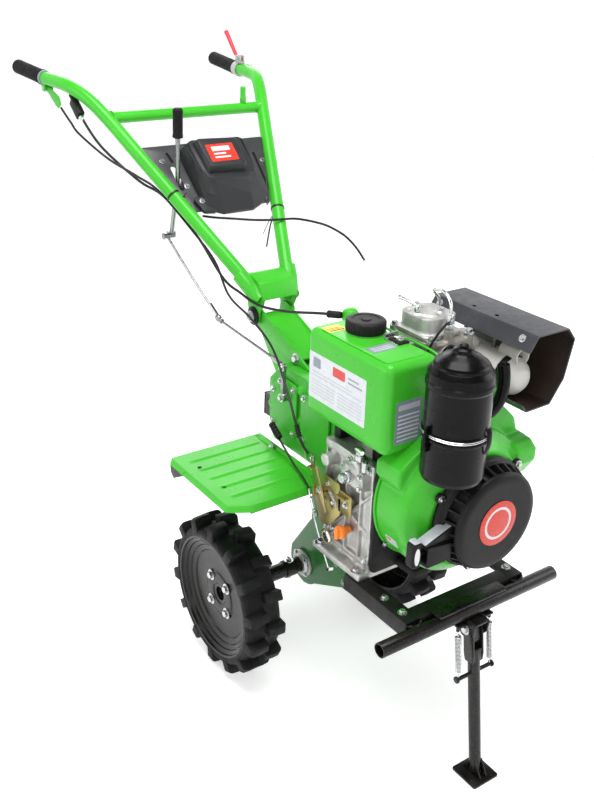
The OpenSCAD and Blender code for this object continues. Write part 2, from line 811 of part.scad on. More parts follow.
module squeeze_bracket() {
  color("#45d84a") place() difference() {
    for (y = [-310, -289.5]) block([squeeze_x - 8, y, squeeze_z - 7],
        [squeeze_x + 8, y + 3.5, squeeze_z + 20]);
    along_y(-311, -285, squeeze_x, squeeze_z, 3 + running_gap);
    mirror([0, 1, 0]) bar(bar_bend[1], grip_start, bar_r);
  }
}

module crossbar() {
  color("#45d84a") place() {
    along_y(-222, 222, bar_cross[0], bar_cross[2], crossbar_d / 2);
    along_z(bar_cross[2] + 12, bar_cross[2] + 58, bar_cross[0], 172, 8);
  }
}

module handle_head() {
  cheek = [[-238, 822], [-216, 812], [-194, 824], [-190, 850], [-172, 884], [-196, 926], [-262, 930],
      [-250, 880]];
  color("#45d84a") place() {
    both_sides() side_plate(cheek, 46, 52);
    side_plate([[-264, 926], [-196, 922], [-176, 888], [-168, 892], [-188, 934], [-240, 946],
        [-266, 938]], -52, 52);
    along_y(-50, 50, pivot[0], pivot[2], pitch_pin_r);
    bolt_y(pivot[0], -52, pivot[2], 9);
  }
}

module grips() {
  color("#161616") place() both_sides() difference() {
    bar(grip_start - [2, 0, 0], grip_end, grip_d / 2);
    bar(grip_start + [1, 0, 0], grip_end + [7, 0, 0], bar_r - 5);
  }
}

// Draws in the slope of the handle: local X runs down the handle, local Z points out of its upper side.
module on_handle() {
  translate([bar_base_x, 0, bar_base_z]) rotate([0, bar_slope, 0]) children();
}

function half_width(s) = bar_base_y + bar_spread * s - 16;

module control_plate() {
  low_s = 224;
  high_s = 436;
  color("#3a3a3c") place() on_handle() difference() {
    linear_extrude(3) polygon([[-low_s, -half_width(low_s)], [-high_s, -half_width(high_s)],
      [-high_s, half_width(high_s)], [-low_s, half_width(low_s)]]);
    translate([-366, lever_y - 9, -1]) cube([70, 18, 5]);
    translate([-400, 140, -1]) rotate([0, 0, -20]) cube([90, 9, 5]);
  }
  color("#3a3a3c") place() difference() {
    on_handle() for (y = [lever_y - 19, lever_y + 10.5]) translate([-326, y, -36]) cube([20, 4.5, 37]);
    along_y(lever_y - 20, lever_y + 16, lever_axis[0], lever_axis[2], lever_pin_r + running_gap);
  }
}

module control_cover() {
  base = [[-206, -40], [-206, 50], [-228, 98], [-300, 106], [-415, 92], [-415, -90], [-290, -88],
      [-226, -84]];
  shoulder = [[-284, -58], [-283, 48], [-306, 80], [-400, 84], [-404, -84], [-300, -76]];
  crown = [[-302, -66], [-297, 48], [-392, 54], [-398, -70]];
  wall_scale = 0.95;
  centre = [-328, 4];
  color("#48484a") place() on_handle() difference() {
    union() {
      hull() {
        translate([0, 0, 3]) linear_extrude(12) polygon(base);
        translate([0, 0, 52]) linear_extrude(6) polygon(shoulder);
      }
      translate([0, 0, 50]) linear_extrude(28) polygon(crown);
    }
    hull() {
      translate([0, 0, 2]) linear_extrude(10) polygon([for (p = base) centre + wall_scale * (p - centre)]);
      translate([0, 0, 48]) linear_extrude(6) polygon([for (p = shoulder) centre + wall_scale * (p - centre)]);
    }
  }
}

module cable_stop() {
  color("#191919") place() {
    bar([-738, -286, 1322], [-716, -282, 1300], 6);
    translate([-716, -282, 1294]) rotate([0, 38, 0]) cube([56, 18, 24], center = true);
  }
}

module lever_perch() {
  last_run = bar_bend[1] - grip_start;
  color("#cdd0d2") place() {
    difference() {
      bar(grip_start + 0.16 * last_run, grip_start + 0.42 * last_run, bar_r + 5);
      bar(grip_start - 0.05 * last_run, grip_start + 0.9 * last_run, bar_r);
    }
    difference() {
      block([-866, 288, 1372], [-838, 304, 1392]);
      block([-867, 292.9, 1376], [-837, 299.1, 1393]);
    }
  }
}

module shift_lever() {
  color("#c9cbcc") place() {
    bent_bar([lever_low, lever_waist, [-472, lever_y, 1236]], 6);
    along_y(lever_y - 14, lever_y + 10, lever_axis[0], lever_axis[2], 8);
    along_y(lever_y - 19, lever_y + 15, lever_axis[0], lever_axis[2], lever_pin_r);
    bar([-472, lever_y, 1230], [-467, lever_y, 1318], 13);
  }
}

module shift_rod() {
  color("#c2c4c6") place() {
    bar(lever_low + [2, -14, -2], link_joint, 3.5);
    along_y(lever_y - 20, lever_y - 7, lever_low[0], lever_low[2], 7);
    translate(link_joint) sphere(7);
  }
}

module shift_link() {
  color("#c2c4c6") place() {
    bar(link_start, arm_pin + [-10, 0, 0], 3.5);
    translate(link_start) sphere(4.5);
  }
}

module selector_arm() {
  color("#c2c4c6") place() {
    along_y(-102, -84, selector_x, selector_z, 10);
    along_y(-84, -66, selector_x, selector_z, selector_r);
    bar([selector_x, -95, selector_z], [selector_x - 2, -95, selector_z + 75], 6.5);
  }
}

module clutch_lever() {
  color("#d8203a") place() {
    along_y(293, 299, -852, 1384, 6);
    bar([-852, 296, 1384], [-876, 296, 1392], 3);
    bar([-874, 296.5, 1388], [-938, 300, 1452], 6);
  }
}

module release_arm() {
  color("#45d84a") place() {
    along_y(6.5, 21.5, release_x, release_z, 12);
    bar([release_x, 14, release_z], [104, 12, 905], 6);
    along_y(0, 28, 96, 920, 21);
    along_y(-2, 30, release_x, release_z, release_pin_r);
  }
}

module hand_lever() {
  lever_plate = [[-886, 1333], [-846, 1329], [-790, 1314], [-778, 1296], [-796, 1284], [-812, 1290]];
  color("#45d84a") place() {
    side_plate(lever_plate, -302, -294);
    along_y(-306, -290, squeeze_x, squeeze_z, 5);
    along_y(-310, -286, squeeze_x, squeeze_z, 3);
  }
}

module speed_lever() {
  color("#b99a4e") place() {
    along_y(-167, -158.5, 240, 588, 9);
    bar([240, -163, 588], [262, -163, 540], 4.4);
    bar([240, -162.6, 588], [224, -162.6, 640], 3.8);
  }
}

module fuel_cap() {
  notch_count = 24;
  color("#191919") place() difference() {
    along_z(tank_top + 3.5, tank_top + 34, cap_x, cap_y, 44, 42);
    for (k = [0:notch_count - 1]) translate([cap_x, cap_y, tank_top + 6]) rotate([0, 0,
        k * 360 / notch_count])
      translate([42.5, -1.5, 0]) cube([3, 3, 20]);
  }
}

module decompression_lever() {
  color("#d6d7d8") place() {
    along_z(1005.5, 1020, 326, 8, 7);
    bar([326, 8, 1016], [282, 0, 1024], 4);
  }
}

module stand_leg() {
  ankle = [pivot_x + leg_rake, 0, foot_t];
  color("#2a2622") place() {
    bar([pivot_x, 0, pivot_z], ankle, leg_d / 2);
    along_y(-16.5, 16.5, pivot_x, pivot_z, 15);
    along_y(-23, 23, pivot_x, pivot_z, 8);
    translate([ankle[0] - foot_w / 2, -foot_w / 2, 0]) cube([foot_w, foot_w, foot_t]);
    for (s = [-1, 1]) bar([pivot_x + 18, s * 8, 262], [pivot_x + 18, s * (spring_y + 4), 262], 4);
  }
}

module stand_springs() {
  color("#d0d2d3") place() both_sides() {
    bar([592, spring_y, 377], [pivot_x + 18, spring_y, 268.5], 6);
  }
}

module control_cables() {
  throttle = [[-790, -296, 1286], [-700, -286, 1230], [-610, -250, 1180], [-540, -206, 1145],
      [-480, -172, 1112],
    [-384, -130, 1026], [-320, -104, 960], [-262, -98, 886], [-190, -84, 850], [-110, -84, 820],
        [-20, -110, 800], [80, -140, 740],
    [150, -160, 680], [184, -158, 652]];
  clutch = [[-692, -282, 1275], [-636, -254, 1205], [-548, -196, 1130], [-480, -160, 1098],
      [-388, -118, 1014],
    [-300, -92, 920],
    [-240, -76, 894], [-170, -68, 882], [-80, -48, 890], [20, -24, 912], [74, -5, 922]];
  lower = [[-24, -112, 612], [20, -114, 586], [75, -120, 563], [130, -134, 561], [178, -148, 556],
      [184, -142, 505],
    [182, -112, 400], [184, -84, 310]];
  color("#141414") place() {
    cord(throttle, 3);
    cord(clutch, 3.5);
    cord(lower, 2.5);
  }
}

// Smooth curve through the route points: the point at the parameter t of span i.
function route_point(path, i, t) =
  let (a = path[max(i - 1, 0)], b = path[i], c = path[i + 1], d = path[min(i + 2, len(path) - 1)])
  0.5 * (2 * b + (c - a) * t + (2 * a - 5 * b + 4 * c - d) * t * t + (3 * b - a - 3 * c + d) * t * t * t);

// Round cord of radius r swept along a smooth curve through the route points.
module cord(path, r) {
  steps = 3;
  sides = 10;
  spans = len(path) - 1;
  line = [for (i = [0:spans - 1], k = [0:steps - 1]) route_point(path, i, k / steps), path[spans]];
  last = len(line) - 1;
  rings = [for (j = [0:last])
    let (d = line[min(j + 1, last)] - line[max(j - 1, 0)], w = d / norm(d))
    let (u = cross(w, [0, 0, 1]) / norm(cross(w, [0, 0, 1])), v = cross(u, w))
    for (k = [0:sides - 1]) line[j] + r * (u * cos(360 * k / sides) + v * sin(360 * k / sides))];
  walls = [for (j = [0:last - 1], k = [0:sides - 1])
    let (n = (k + 1) % sides) [j * sides + k, j * sides + n, (j + 1) * sides + n, (j + 1) * sides + k]];
  polyhedron(rings, concat(walls, [[for (k = [sides - 1:-1:0]) k]],
      [[for (k = [0:sides - 1]) last * sides + k]]));
}

module spare_cable() {
  color("#151515") place() cord(spare_path, spare_r);
}

chassis_frame();
bumper_tube();
drive_case();
gearbox_case();
axle_caps();
axle_bearings();
clutch_housing();
crankcase();
crank_bearings();
case_gasket();
cylinder_barrel();
cylinder_head();
rocker_cover();
fan_shroud();
recoil_housing();
fuel_tank();
air_filter_can();
air_filter_bowl();
intake_elbow();
muffler();
muffler_shield();
injection_gear();
governor_bracket();
oil_plug();
fenders();
fender_stays();
handle_seat();
hitch_socket();
fasteners();
axle_shaft();
axle_gear();
axle_sleeves();
wheel_rims();
tyres();
wheel_bolts();
idler_gear();
crankshaft();
clutch_pack();
flywheel();
pull_handle();
handle_tubes();
squeeze_bracket();
crossbar();
handle_head();
grips();
control_plate();
control_cover();
cable_stop();
lever_perch();
shift_lever();
shift_rod();
shift_link();
selector_arm();
clutch_lever();
release_arm();
hand_lever();
speed_lever();
fuel_cap();
decompression_lever();
stand_leg();
stand_springs();
control_cables();
spare_cable();
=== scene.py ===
"""Looks of the mini cultivator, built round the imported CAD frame."""
import json
import math

import bmesh
import bpy
from mathutils import Matrix, Vector


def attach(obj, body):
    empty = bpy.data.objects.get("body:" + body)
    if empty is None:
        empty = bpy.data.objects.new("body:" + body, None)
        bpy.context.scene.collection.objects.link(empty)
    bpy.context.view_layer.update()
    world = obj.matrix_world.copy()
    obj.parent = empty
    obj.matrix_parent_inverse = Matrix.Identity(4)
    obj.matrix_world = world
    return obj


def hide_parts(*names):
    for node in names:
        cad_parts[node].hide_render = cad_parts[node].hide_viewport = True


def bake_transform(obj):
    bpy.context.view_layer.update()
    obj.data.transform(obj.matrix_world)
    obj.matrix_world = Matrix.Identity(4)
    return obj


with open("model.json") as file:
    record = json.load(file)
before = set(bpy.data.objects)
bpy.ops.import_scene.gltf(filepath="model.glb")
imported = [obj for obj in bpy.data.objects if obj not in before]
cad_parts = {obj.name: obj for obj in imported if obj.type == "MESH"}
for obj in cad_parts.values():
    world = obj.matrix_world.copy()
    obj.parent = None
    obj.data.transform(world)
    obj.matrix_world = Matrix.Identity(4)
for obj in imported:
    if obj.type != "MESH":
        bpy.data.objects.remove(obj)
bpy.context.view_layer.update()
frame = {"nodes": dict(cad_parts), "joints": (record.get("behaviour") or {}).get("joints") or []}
JOINTS = {j["name"]: j for j in frame["joints"]}
AXLE_X = JOINTS["axle_spin"]["pos_m"][0]
FRONT, BACK, LEFT, RIGHT, UP = (1, 0, 0), (-1, 0, 0), (0, 1, 0), (0, -1, 0), (0, 0, 1)
SIDES = ((-1, "right"), (1, "left"))
AXLE_Z = 205.0
CRANK_Y, CRANK_Z = 27.0, 627.0


def P(x, y, z):
    """A point in millimetres from the ground under the axle, as metres in the row frame."""
    return Vector((x / 1000 + AXLE_X, y / 1000, z / 1000))


# ---------------------------------------------------------------- materials
class Nodes:
    """Short way to add and link the nodes of one material."""

    def __init__(self, name):
        self.mat = bpy.data.materials.new(name)
        self.mat.use_nodes = True
        self.tree = self.mat.node_tree
        self.shader = self.tree.nodes["Principled BSDF"]
        self.where = self.add("ShaderNodeTexCoord").outputs["Object"]

    def add(self, kind, **values):
        node = self.tree.nodes.new(kind)
        for key, value in values.items():
            if key in node.inputs:
                node.inputs[key].default_value = value
            else:
                setattr(node, key, value)
        return node

    def link(self, a, b):
        self.tree.links.new(a, b)

    def noise(self, scale, detail=4.0, rough=0.55, stretch=None):
        """Noise at so many cells per metre; stretch scales the coordinates first."""
        node = self.add("ShaderNodeTexNoise", Scale=scale, Detail=detail, Roughness=rough)
        if stretch:
            mapping = self.add("ShaderNodeMapping")
            mapping.inputs["Scale"].default_value = stretch
            self.link(self.where, mapping.inputs["Vector"])
            self.link(mapping.outputs[0], node.inputs["Vector"])
        else:
            self.link(self.where, node.inputs["Vector"])
        return node.outputs["Fac"]

    def ramp(self, source, stops):
        node = self.add("ShaderNodeValToRGB")
        while len(node.color_ramp.elements) < len(stops):
            node.color_ramp.elements.new(0.5)
        for element, (at, colour) in zip(node.color_ramp.elements, stops):
            element.position = at
            element.color = (*colour, 1) if len(colour) == 3 else (colour[0],) * 3 + (1,)
        self.link(source, node.inputs["Fac"])
        return node.outputs["Color"]

    def spread(self, source, values, stops=(0.3, 0.7)):
        """Turns a noise into a number between two values, which it reaches at the stops."""
        return self.ramp(source, [(at, (value,)) for at, value in zip(stops, values)])

    def mix(self, factor, a, b):
        node = self.add("ShaderNodeMix", data_type="RGBA")
        for socket, value in ((0, factor), (6, a), (7, b)):
            if isinstance(value, (int, float)):
                node.inputs[socket].default_value = value
            elif isinstance(value, tuple):
                node.inputs[socket].default_value = (*value, 1)
            else:
                self.link(value, node.inputs[socket])
        return node.outputs[2]

    def bump(self, height, strength, distance, previous=None):
        node = self.add("ShaderNodeBump", Strength=strength, Distance=distance)
        self.link(height, node.inputs["Height"])
        if previous is not None:
            self.link(previous, node.inputs["Normal"])
        return node.outputs["Normal"]


def finish_material(n, colour, rough, normal, **fixed):
    """Links the colour, the roughness and the normal, and returns the material."""
    n.link(colour, n.shader.inputs["Base Color"])
    n.link(rough, n.shader.inputs["Roughness"])
    n.link(normal, n.shader.inputs["Normal"])
    for key, value in fixed.items():
        n.shader.inputs[key.replace("_", " ")].default_value = value
    return n.mat


def paint(name, colour, rough=(0.22, 0.34), coat=0.35, peel=0.10, dust=0.05, shade=0.9, level=0.5):
    """Gloss enamel: orange peel, faint cloudy tone, a little dust that dulls it."""
    n = Nodes(name)
    tone = n.noise(9, 3)
    dirt = n.spread(n.noise(38, 8, 0.65), (0.0, 1.0), (0.5, 0.78))
    darker = tuple(c * shade for c in colour)
    base = n.mix(n.spread(tone, (0.0, 1.0), (0.35, 0.7)), darker, colour)
    dusty = tuple(0.75 * c + 0.25 * d for c, d in zip(colour, (0.45, 0.43, 0.38)))
    factor = n.add("ShaderNodeMath", operation="MULTIPLY")
    factor.inputs[1].default_value = dust * 3
    n.link(dirt, factor.inputs[0])
    base = n.mix(factor.outputs[0], base, dusty)
    gloss = n.spread(n.noise(60, 6), rough, (0.3, 0.75))
    normal = n.bump(n.noise(420, 2), peel, 0.0004)
    return finish_material(n, base, gloss, normal, Coat_Weight=coat, Coat_Roughness=0.08,
                           Specular_IOR_Level=level)


def cast_metal(name, colour, rough=(0.38, 0.6), metallic=0.85, grain=0.35, stain=0.35):
    """Sand-cast alloy: coarse grain, darker hollows, brighter rubbed patches."""
    n = Nodes(name)
    low = tuple(c * (1 - stain) for c in colour)
    patch = n.spread(n.noise(26, 9, 0.7), (0.0, 1.0), (0.32, 0.62))
    base = n.mix(patch, low, colour)
    gloss = n.spread(n.noise(90, 5), rough)
    normal = n.bump(n.noise(900, 5, 0.7), grain, 0.0006, n.bump(n.noise(160, 4), grain * 0.6, 0.001))
    return finish_material(n, base, gloss, normal, Metallic=metallic)


def metal(name, colour, rough=(0.18, 0.34), stretch=(1, 1, 1), stain=0.15, line=0.08):
    """Plated or machined metal with fine lines along one direction."""
    n = Nodes(name)
    low = tuple(c * (1 - stain) for c in colour)
    base = n.mix(n.noise(45, 6), low, colour)
    gloss = n.spread(n.noise(150, 5, 0.6, stretch), rough)
    normal = n.bump(n.noise(700, 3, 0.6, stretch), line, 0.0003)
    return finish_material(n, base, gloss, normal, Metallic=1.0)


def plastic(name, colour, rough=(0.38, 0.52), grain=0.12, scale=1400, fade=0.12, level=0.5):
    """Moulded plastic with a fine spark-eroded grain."""
    n = Nodes(name)
    light = tuple(min(1.0, c * (1 + fade) + 0.004) for c in colour)
    base = n.mix(n.noise(14, 4), colour, light)
    gloss = n.spread(n.noise(70, 5), rough)
    normal = n.bump(n.noise(scale, 2), grain, 0.0003)
    return finish_material(n, base, gloss, normal, Specular_IOR_Level=level)


def rubber(name, colour, dust_colour, dust=0.35, scale=300, level=0.2):
    """Rubber with a dull bloom and dust in patches."""
    n = Nodes(name)
    patch = n.spread(n.noise(24, 8, 0.7), (0.0, dust), (0.42, 0.8))
    base = n.mix(patch, colour, dust_colour)
    gloss = n.spread(n.noise(60, 5), (0.5, 0.72))
    normal = n.bump(n.noise(scale, 6, 0.65), 0.25, 0.0006)
    return finish_material(n, base, gloss, normal, Specular_IOR_Level=level)


def heat_paint(name, colour, tint):
    """Matt heat-proof paint, browned where it runs hot."""
    n = Nodes(name)
    patch = n.spread(n.noise(11, 6, 0.6), (0.0, 0.6), (0.45, 0.8))
    base = n.mix(patch, colour, tint)
    gloss = n.spread(n.noise(80, 5), (0.42, 0.6))
    normal = n.bump(n.noise(650, 4), 0.18, 0.0004)
    return finish_material(n, base, gloss, normal)


GREEN = paint("green_paint", (0.048, 0.46, 0.022), (0.26, 0.38), 0.08, 0.08, 0.02, 0.9, 0.28)
GREEN_CAST = paint("green_casting", (0.040, 0.39, 0.022), (0.30, 0.44), 0.06, 0.45, 0.05, 0.9, 0.28)
# painted shade: a darker copy of the green paint for the drive case, which sits in shade
SHADED_GREEN = paint("shaded_green_casting", (0.014, 0.17, 0.024), (0.26, 0.42), 0.2, 0.5, 0.1)
BLACK = paint("black_paint", (0.008, 0.0065, 0.006), (0.22, 0.36), 0.12, 0.18, 0.03, 0.7, 0.25)
FRAME_BLACK = paint("frame_black", (0.009, 0.008, 0.008), (0.34, 0.55), 0.03, 0.6, 0.06, 0.6, 0.22)
FILTER_BLACK = paint("filter_black", (0.003, 0.003, 0.003), (0.20, 0.30), 0.04, 0.06, 0.01, 0.8, 0.14)
SHIELD = paint("shield_paint", (0.030, 0.032, 0.040), (0.30, 0.46), 0.1, 0.3, 0.1, 0.7, 0.5)
RUST = heat_paint("shield_inside", (0.022, 0.011, 0.007), (0.009, 0.007, 0.007))
HEAT = heat_paint("muffler_paint", (0.66, 0.65, 0.62), (0.50, 0.46, 0.40))
ALLOY = cast_metal("cast_alloy", (0.60, 0.60, 0.58))
HEAD_ALLOY = cast_metal("head_casting", (0.36, 0.34, 0.31), (0.45, 0.65), 0.6, 0.5, 0.4)
IRON = cast_metal("cast_iron", (0.30, 0.30, 0.29), (0.5, 0.7), 0.5, 0.6, 0.3)
STEEL = metal("bright_steel", (0.58, 0.59, 0.60))
ROD = metal("plated_rod", (0.36, 0.36, 0.37), (0.2, 0.34))
CHROME = metal("bright_chrome", (0.83, 0.84, 0.85), (0.08, 0.18))
ZINC = metal("yellow_zinc", (0.50, 0.42, 0.17), (0.28, 0.42), (1, 1, 1), 0.45, 0.2)
PLASTIC = plastic("black_plastic", (0.010, 0.0095, 0.0095), (0.32, 0.46), level=0.14)
CHARCOAL = plastic("charcoal_plastic", (0.018, 0.019, 0.021), (0.36, 0.5), 0.2, 1100, 0.12, 0.28)
PLATE = paint("plate_coat", (0.040, 0.041, 0.044), (0.36, 0.5), 0.1, 0.35, 0.08, 0.8)
ORANGE = plastic("orange_plastic", (0.85, 0.22, 0.02), (0.25, 0.4), 0.05)
RED = plastic("red_dip", (0.62, 0.02, 0.045), (0.2, 0.35), 0.05, 900, 0.05)
GRIP = rubber("grip_rubber", (0.005, 0.005, 0.005), (0.03, 0.03, 0.03), 0.12, 600)
TYRE = rubber("tyre_rubber", (0.006, 0.006, 0.007), (0.05, 0.048, 0.045), 0.22)
SEAL = rubber("seal_rubber", (0.010, 0.010, 0.010), (0.04, 0.04, 0.04), 0.15)
SHEATH = plastic("cable_sheath", (0.007, 0.007, 0.007), (0.28, 0.4), 0.05, 900, 0.1, 0.3)
RIM = paint("rim_black", (0.006, 0.0045, 0.004), (0.18, 0.30), 0.08, 0.3, 0.02, 0.6, 0.2)
# painted shade: a near-black matt stand-in for the shade inside hollows and holes
PAINTED_SHADE = plastic("painted_shade", (0.004, 0.004, 0.004), (0.7, 0.9), 0.05)
LABEL_WHITE = plastic("label_white", (0.56, 0.58, 0.61), (0.22, 0.32), 0.02)
LABEL_GREY = plastic("label_grey", (0.20, 0.23, 0.28), (0.25, 0.35), 0.02)
LABEL_LINE = plastic("label_line", (0.42, 0.44, 0.48), (0.25, 0.35), 0.02)
LABEL_RED = plastic("label_red", (0.55, 0.035, 0.018), (0.22, 0.32), 0.02)
LABEL_YELLOW = plastic("label_yellow", (0.85, 0.62, 0.02), (0.25, 0.35), 0.02)

# the slot of each material; the label colours and the painted shade in the hollows have none
MATERIALS_IN = {
    "green_paint": (GREEN, GREEN_CAST),
    # painted shade: the darker green of the drive case
    "dark_green_paint": (SHADED_GREEN,),
    "black_paint": (BLACK, FRAME_BLACK, RIM),
    "filter_black": (FILTER_BLACK,),
    "shield_paint": (SHIELD, RUST),
    "heat_paint": (HEAT,),
    "cast_alloy": (ALLOY, HEAD_ALLOY),
    "cast_iron": (IRON,),
    "bright_steel": (STEEL, ROD, CHROME),
    "yellow_zinc": (ZINC,),
    "black_plastic": (PLASTIC, CHARCOAL),
    "grey_plate": (PLATE,),
    "orange_plastic": (ORANGE,),
    "red_plastic": (RED,),
    "grip_rubber": (GRIP,),
    "tyre_rubber": (TYRE,),
    "black_gasket": (SEAL,),
    "cable_sheath": (SHEATH,),
}
SLOT_OF = {material.name: slot for slot, materials in MATERIALS_IN.items() for material in materials}


# ---------------------------------------------------------------- geometry
def shade(mesh, angle=35.0):
    """Smooth shading, with edges sharper than the angle kept crisp."""
    bm = bmesh.new()
    bm.from_mesh(mesh)
    for f in bm.faces:
        f.smooth = True
    limit = math.radians(angle)
    for e in bm.edges:
        e.smooth = len(e.link_faces) == 2 and e.calc_face_angle(0.0) < limit
    bm.to_mesh(mesh)
    bm.free()


def piece(name, verts, faces, material, body, replaces=(), slot="", angle=35.0, bevel=None, steps=2):
    """A mesh piece in place, on its body, with bevelled edges where asked; slot is not used."""
    mesh = bpy.data.meshes.new(name)
    mesh.from_pydata([tuple(v) for v in verts], [], faces)
    mesh.materials.append(material)
    obj = bpy.data.objects.new(name, mesh)
    bpy.context.scene.collection.objects.link(obj)
    tidy_mesh(mesh)
    if bevel:
        add_bevel(obj, bevel, steps)
        apply_modifiers(obj)
    shade(obj.data, angle)
    if body:
        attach(obj, body)
    if slot == "":
        slot = SLOT_OF.get(material.name)
    if replaces:
        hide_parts(*replaces)
    return obj


def tidy_mesh(mesh):
    """Merges doubled points and turns the faces outwards."""
    bm = bmesh.new()
    bm.from_mesh(mesh)
    bmesh.ops.remove_doubles(bm, verts=bm.verts, dist=1e-6)
    bmesh.ops.recalc_face_normals(bm, faces=bm.faces)
    bm.to_mesh(mesh)
    bm.free()


def add_bevel(obj, width, steps=2, angle=30.0):
    """Bevels the edges sharper than the angle; width is in millimetres."""
    m = obj.modifiers.new("bevel", "BEVEL")
    m.width = width / 1000
    m.segments = steps
    m.limit_method = "ANGLE"
    m.angle_limit = math.radians(angle)
    m.harden_normals = False


def apply_modifiers(obj):
    """Turns the piece's modifiers into plain geometry."""
    bpy.context.view_layer.update()
    graph = bpy.context.evaluated_depsgraph_get()
    made = bpy.data.meshes.new_from_object(obj.evaluated_get(graph))
    obj.modifiers.clear()
    old = obj.data
    obj.data = made
    bpy.data.meshes.remove(old)


def join(shapes):
    """Several (verts, faces) lists as one."""
    verts, faces = [], []
    for v, f in shapes:
        start = len(verts)
        verts += list(v)
        faces += [tuple(i + start for i in face) for face in f]
    return verts, faces


def circle(a, b, radius, degrees):
    """Points round (a, b) at the given angles."""
    return [(a + radius * math.cos(math.radians(d)), b + radius * math.sin(math.radians(d)))
            for d in degrees]


def frame_of(direction):
    """Two unit vectors across a direction, and the direction itself."""
    w = Vector(direction).normalized()
    helper = Vector(UP) if abs(w.z) < 0.9 else Vector(FRONT)
    u = helper.cross(w).normalized()
    return u, w.cross(u), w


def skin(rings, count, first=0, closed=False):
    """Quads between rings of count points each, the first of which starts at vertex first."""
    quads = []
    for i in range(rings if closed else rings - 1):
        low, high = first + i * count, first + (i + 1) % rings * count
        quads += [(low + k, low + (k + 1) % count, high + (k + 1) % count, high + k) for k in range(count)]
    return quads


def solid(verts, count):
    """Rings of count points each, skinned and capped at both ends."""
    rings = len(verts) // count
    ends = [tuple(range(count))[::-1], tuple(range((rings - 1) * count, rings * count))]
    return verts, ends + skin(rings, count)


def lathe(origin, direction, profile, segments=72, closed=False):
    """Turned shape: profile holds (distance along, radius) pairs in millimetres."""
    u, v, w = frame_of(direction)
    o = P(*origin)
    verts = []
    for along, radius in profile:
        for k in range(segments):
            a = 2 * math.pi * k / segments
            verts.append(o + (w * along + (u * math.cos(a) + v * math.sin(a)) * radius) / 1000)
    rows = len(profile)
    faces = skin(rows, segments, closed=closed)
    if not closed:
        for i, turn in ((0, -1), (rows - 1, 1)):
            if profile[i][1] > 1e-4:
                faces.append(tuple(i * segments + k for k in range(segments))[::turn])
    return verts, faces


def rounded(points, radius, steps=4, closed=False):
    """A polyline of 2-D points with its corners rounded; radius is one number or one for each point."""
    count = len(points)
    radii = [radius] * count if isinstance(radius, (int, float)) else radius
    out = []
    for i, p in enumerate(points):
        if not closed and i in (0, count - 1) or radii[i] == 0:
            out.append(tuple(p))
            continue
        a, b, c = Vector(points[i - 1]), Vector(p), Vector(points[(i + 1) % count])
        u, v = (a - b), (c - b)
        lu, lv = u.length, v.length
        if lu < 1e-6 or lv < 1e-6:
            out.append(tuple(p))
            continue
        u, v = u / lu, v / lv
        half = math.acos(max(-1.0, min(1.0, u.dot(v)))) / 2
        if half > math.radians(88):
            out.append(tuple(p))
            continue
        cut = min(radii[i] / math.tan(half), 0.48 * lu, 0.48 * lv)
        r = cut * math.tan(half)
        centre = b + (u + v).normalized() * (r / math.sin(half))
        start, end = b + u * cut - centre, b + v * cut - centre
        sweep = math.atan2(start.x * end.y - start.y * end.x, start.dot(end))
        for s in range(steps + 1):
            q = Matrix.Rotation(sweep * s / steps, 2) @ start + centre
            out.append((q.x, q.y))
    return out


def bar(radius, length):
    """Profile of a plain round bar."""
    return [(0, radius), (length, radius)]


def plug(radius, length):
    """Profile of a plain round bar whose end faces meet in the middle."""
    return [(0, 0), (0, radius), (length, radius), (length, 0)]


def disc(radius, length, bore, fillet, steps, closed=False):
    """Profile of a short cylinder or ring with rounded rims."""
    return rounded([(0, bore), (0, radius), (length, radius), (length, bore)], fillet, steps, closed)


PLANES = {"xz": lambda a, b, d: (a, d, b), "yz": lambda a, b, d: (d, a, b), "xy": lambda a, b, d: (a, b, d),
          }


def prism(outline, plane, d0, d1):
    """Outline of 2-D points in a plane, between the distances d0 and d1 along its normal, in millimetres."""
    to = PLANES[plane]
    return solid([P(*to(a, b, d)) for d in (d0, d1) for a, b in outline], len(outline))


def block(low, high):
    """Box between two corners, in millimetres."""
    return prism([(low[0], low[1]), (high[0], low[1]), (high[0], high[1]), (low[0], high[1])], "xy", low[2],
                 high[2])


def smooth_path(points, step=6.0):
    """Points in millimetres along a smooth curve through the given ones, about a step apart."""
    pts = [Vector(p) for p in points]
    out = []
    for i in range(len(pts) - 1):
        a, b, c, d = pts[max(i - 1, 0)], pts[i], pts[i + 1], pts[min(i + 2, len(pts) - 1)]
        count = max(2, int((c - b).length / step))
        for s in range(count):
            t = s / count
            square, cube = 2 * a - 5 * b + 4 * c - d, 3 * b - a - 3 * c + d
            out.append(0.5 * (2 * b + (c - a) * t + square * t**2 + cube * t**3))
    out.append(pts[-1])
    return out


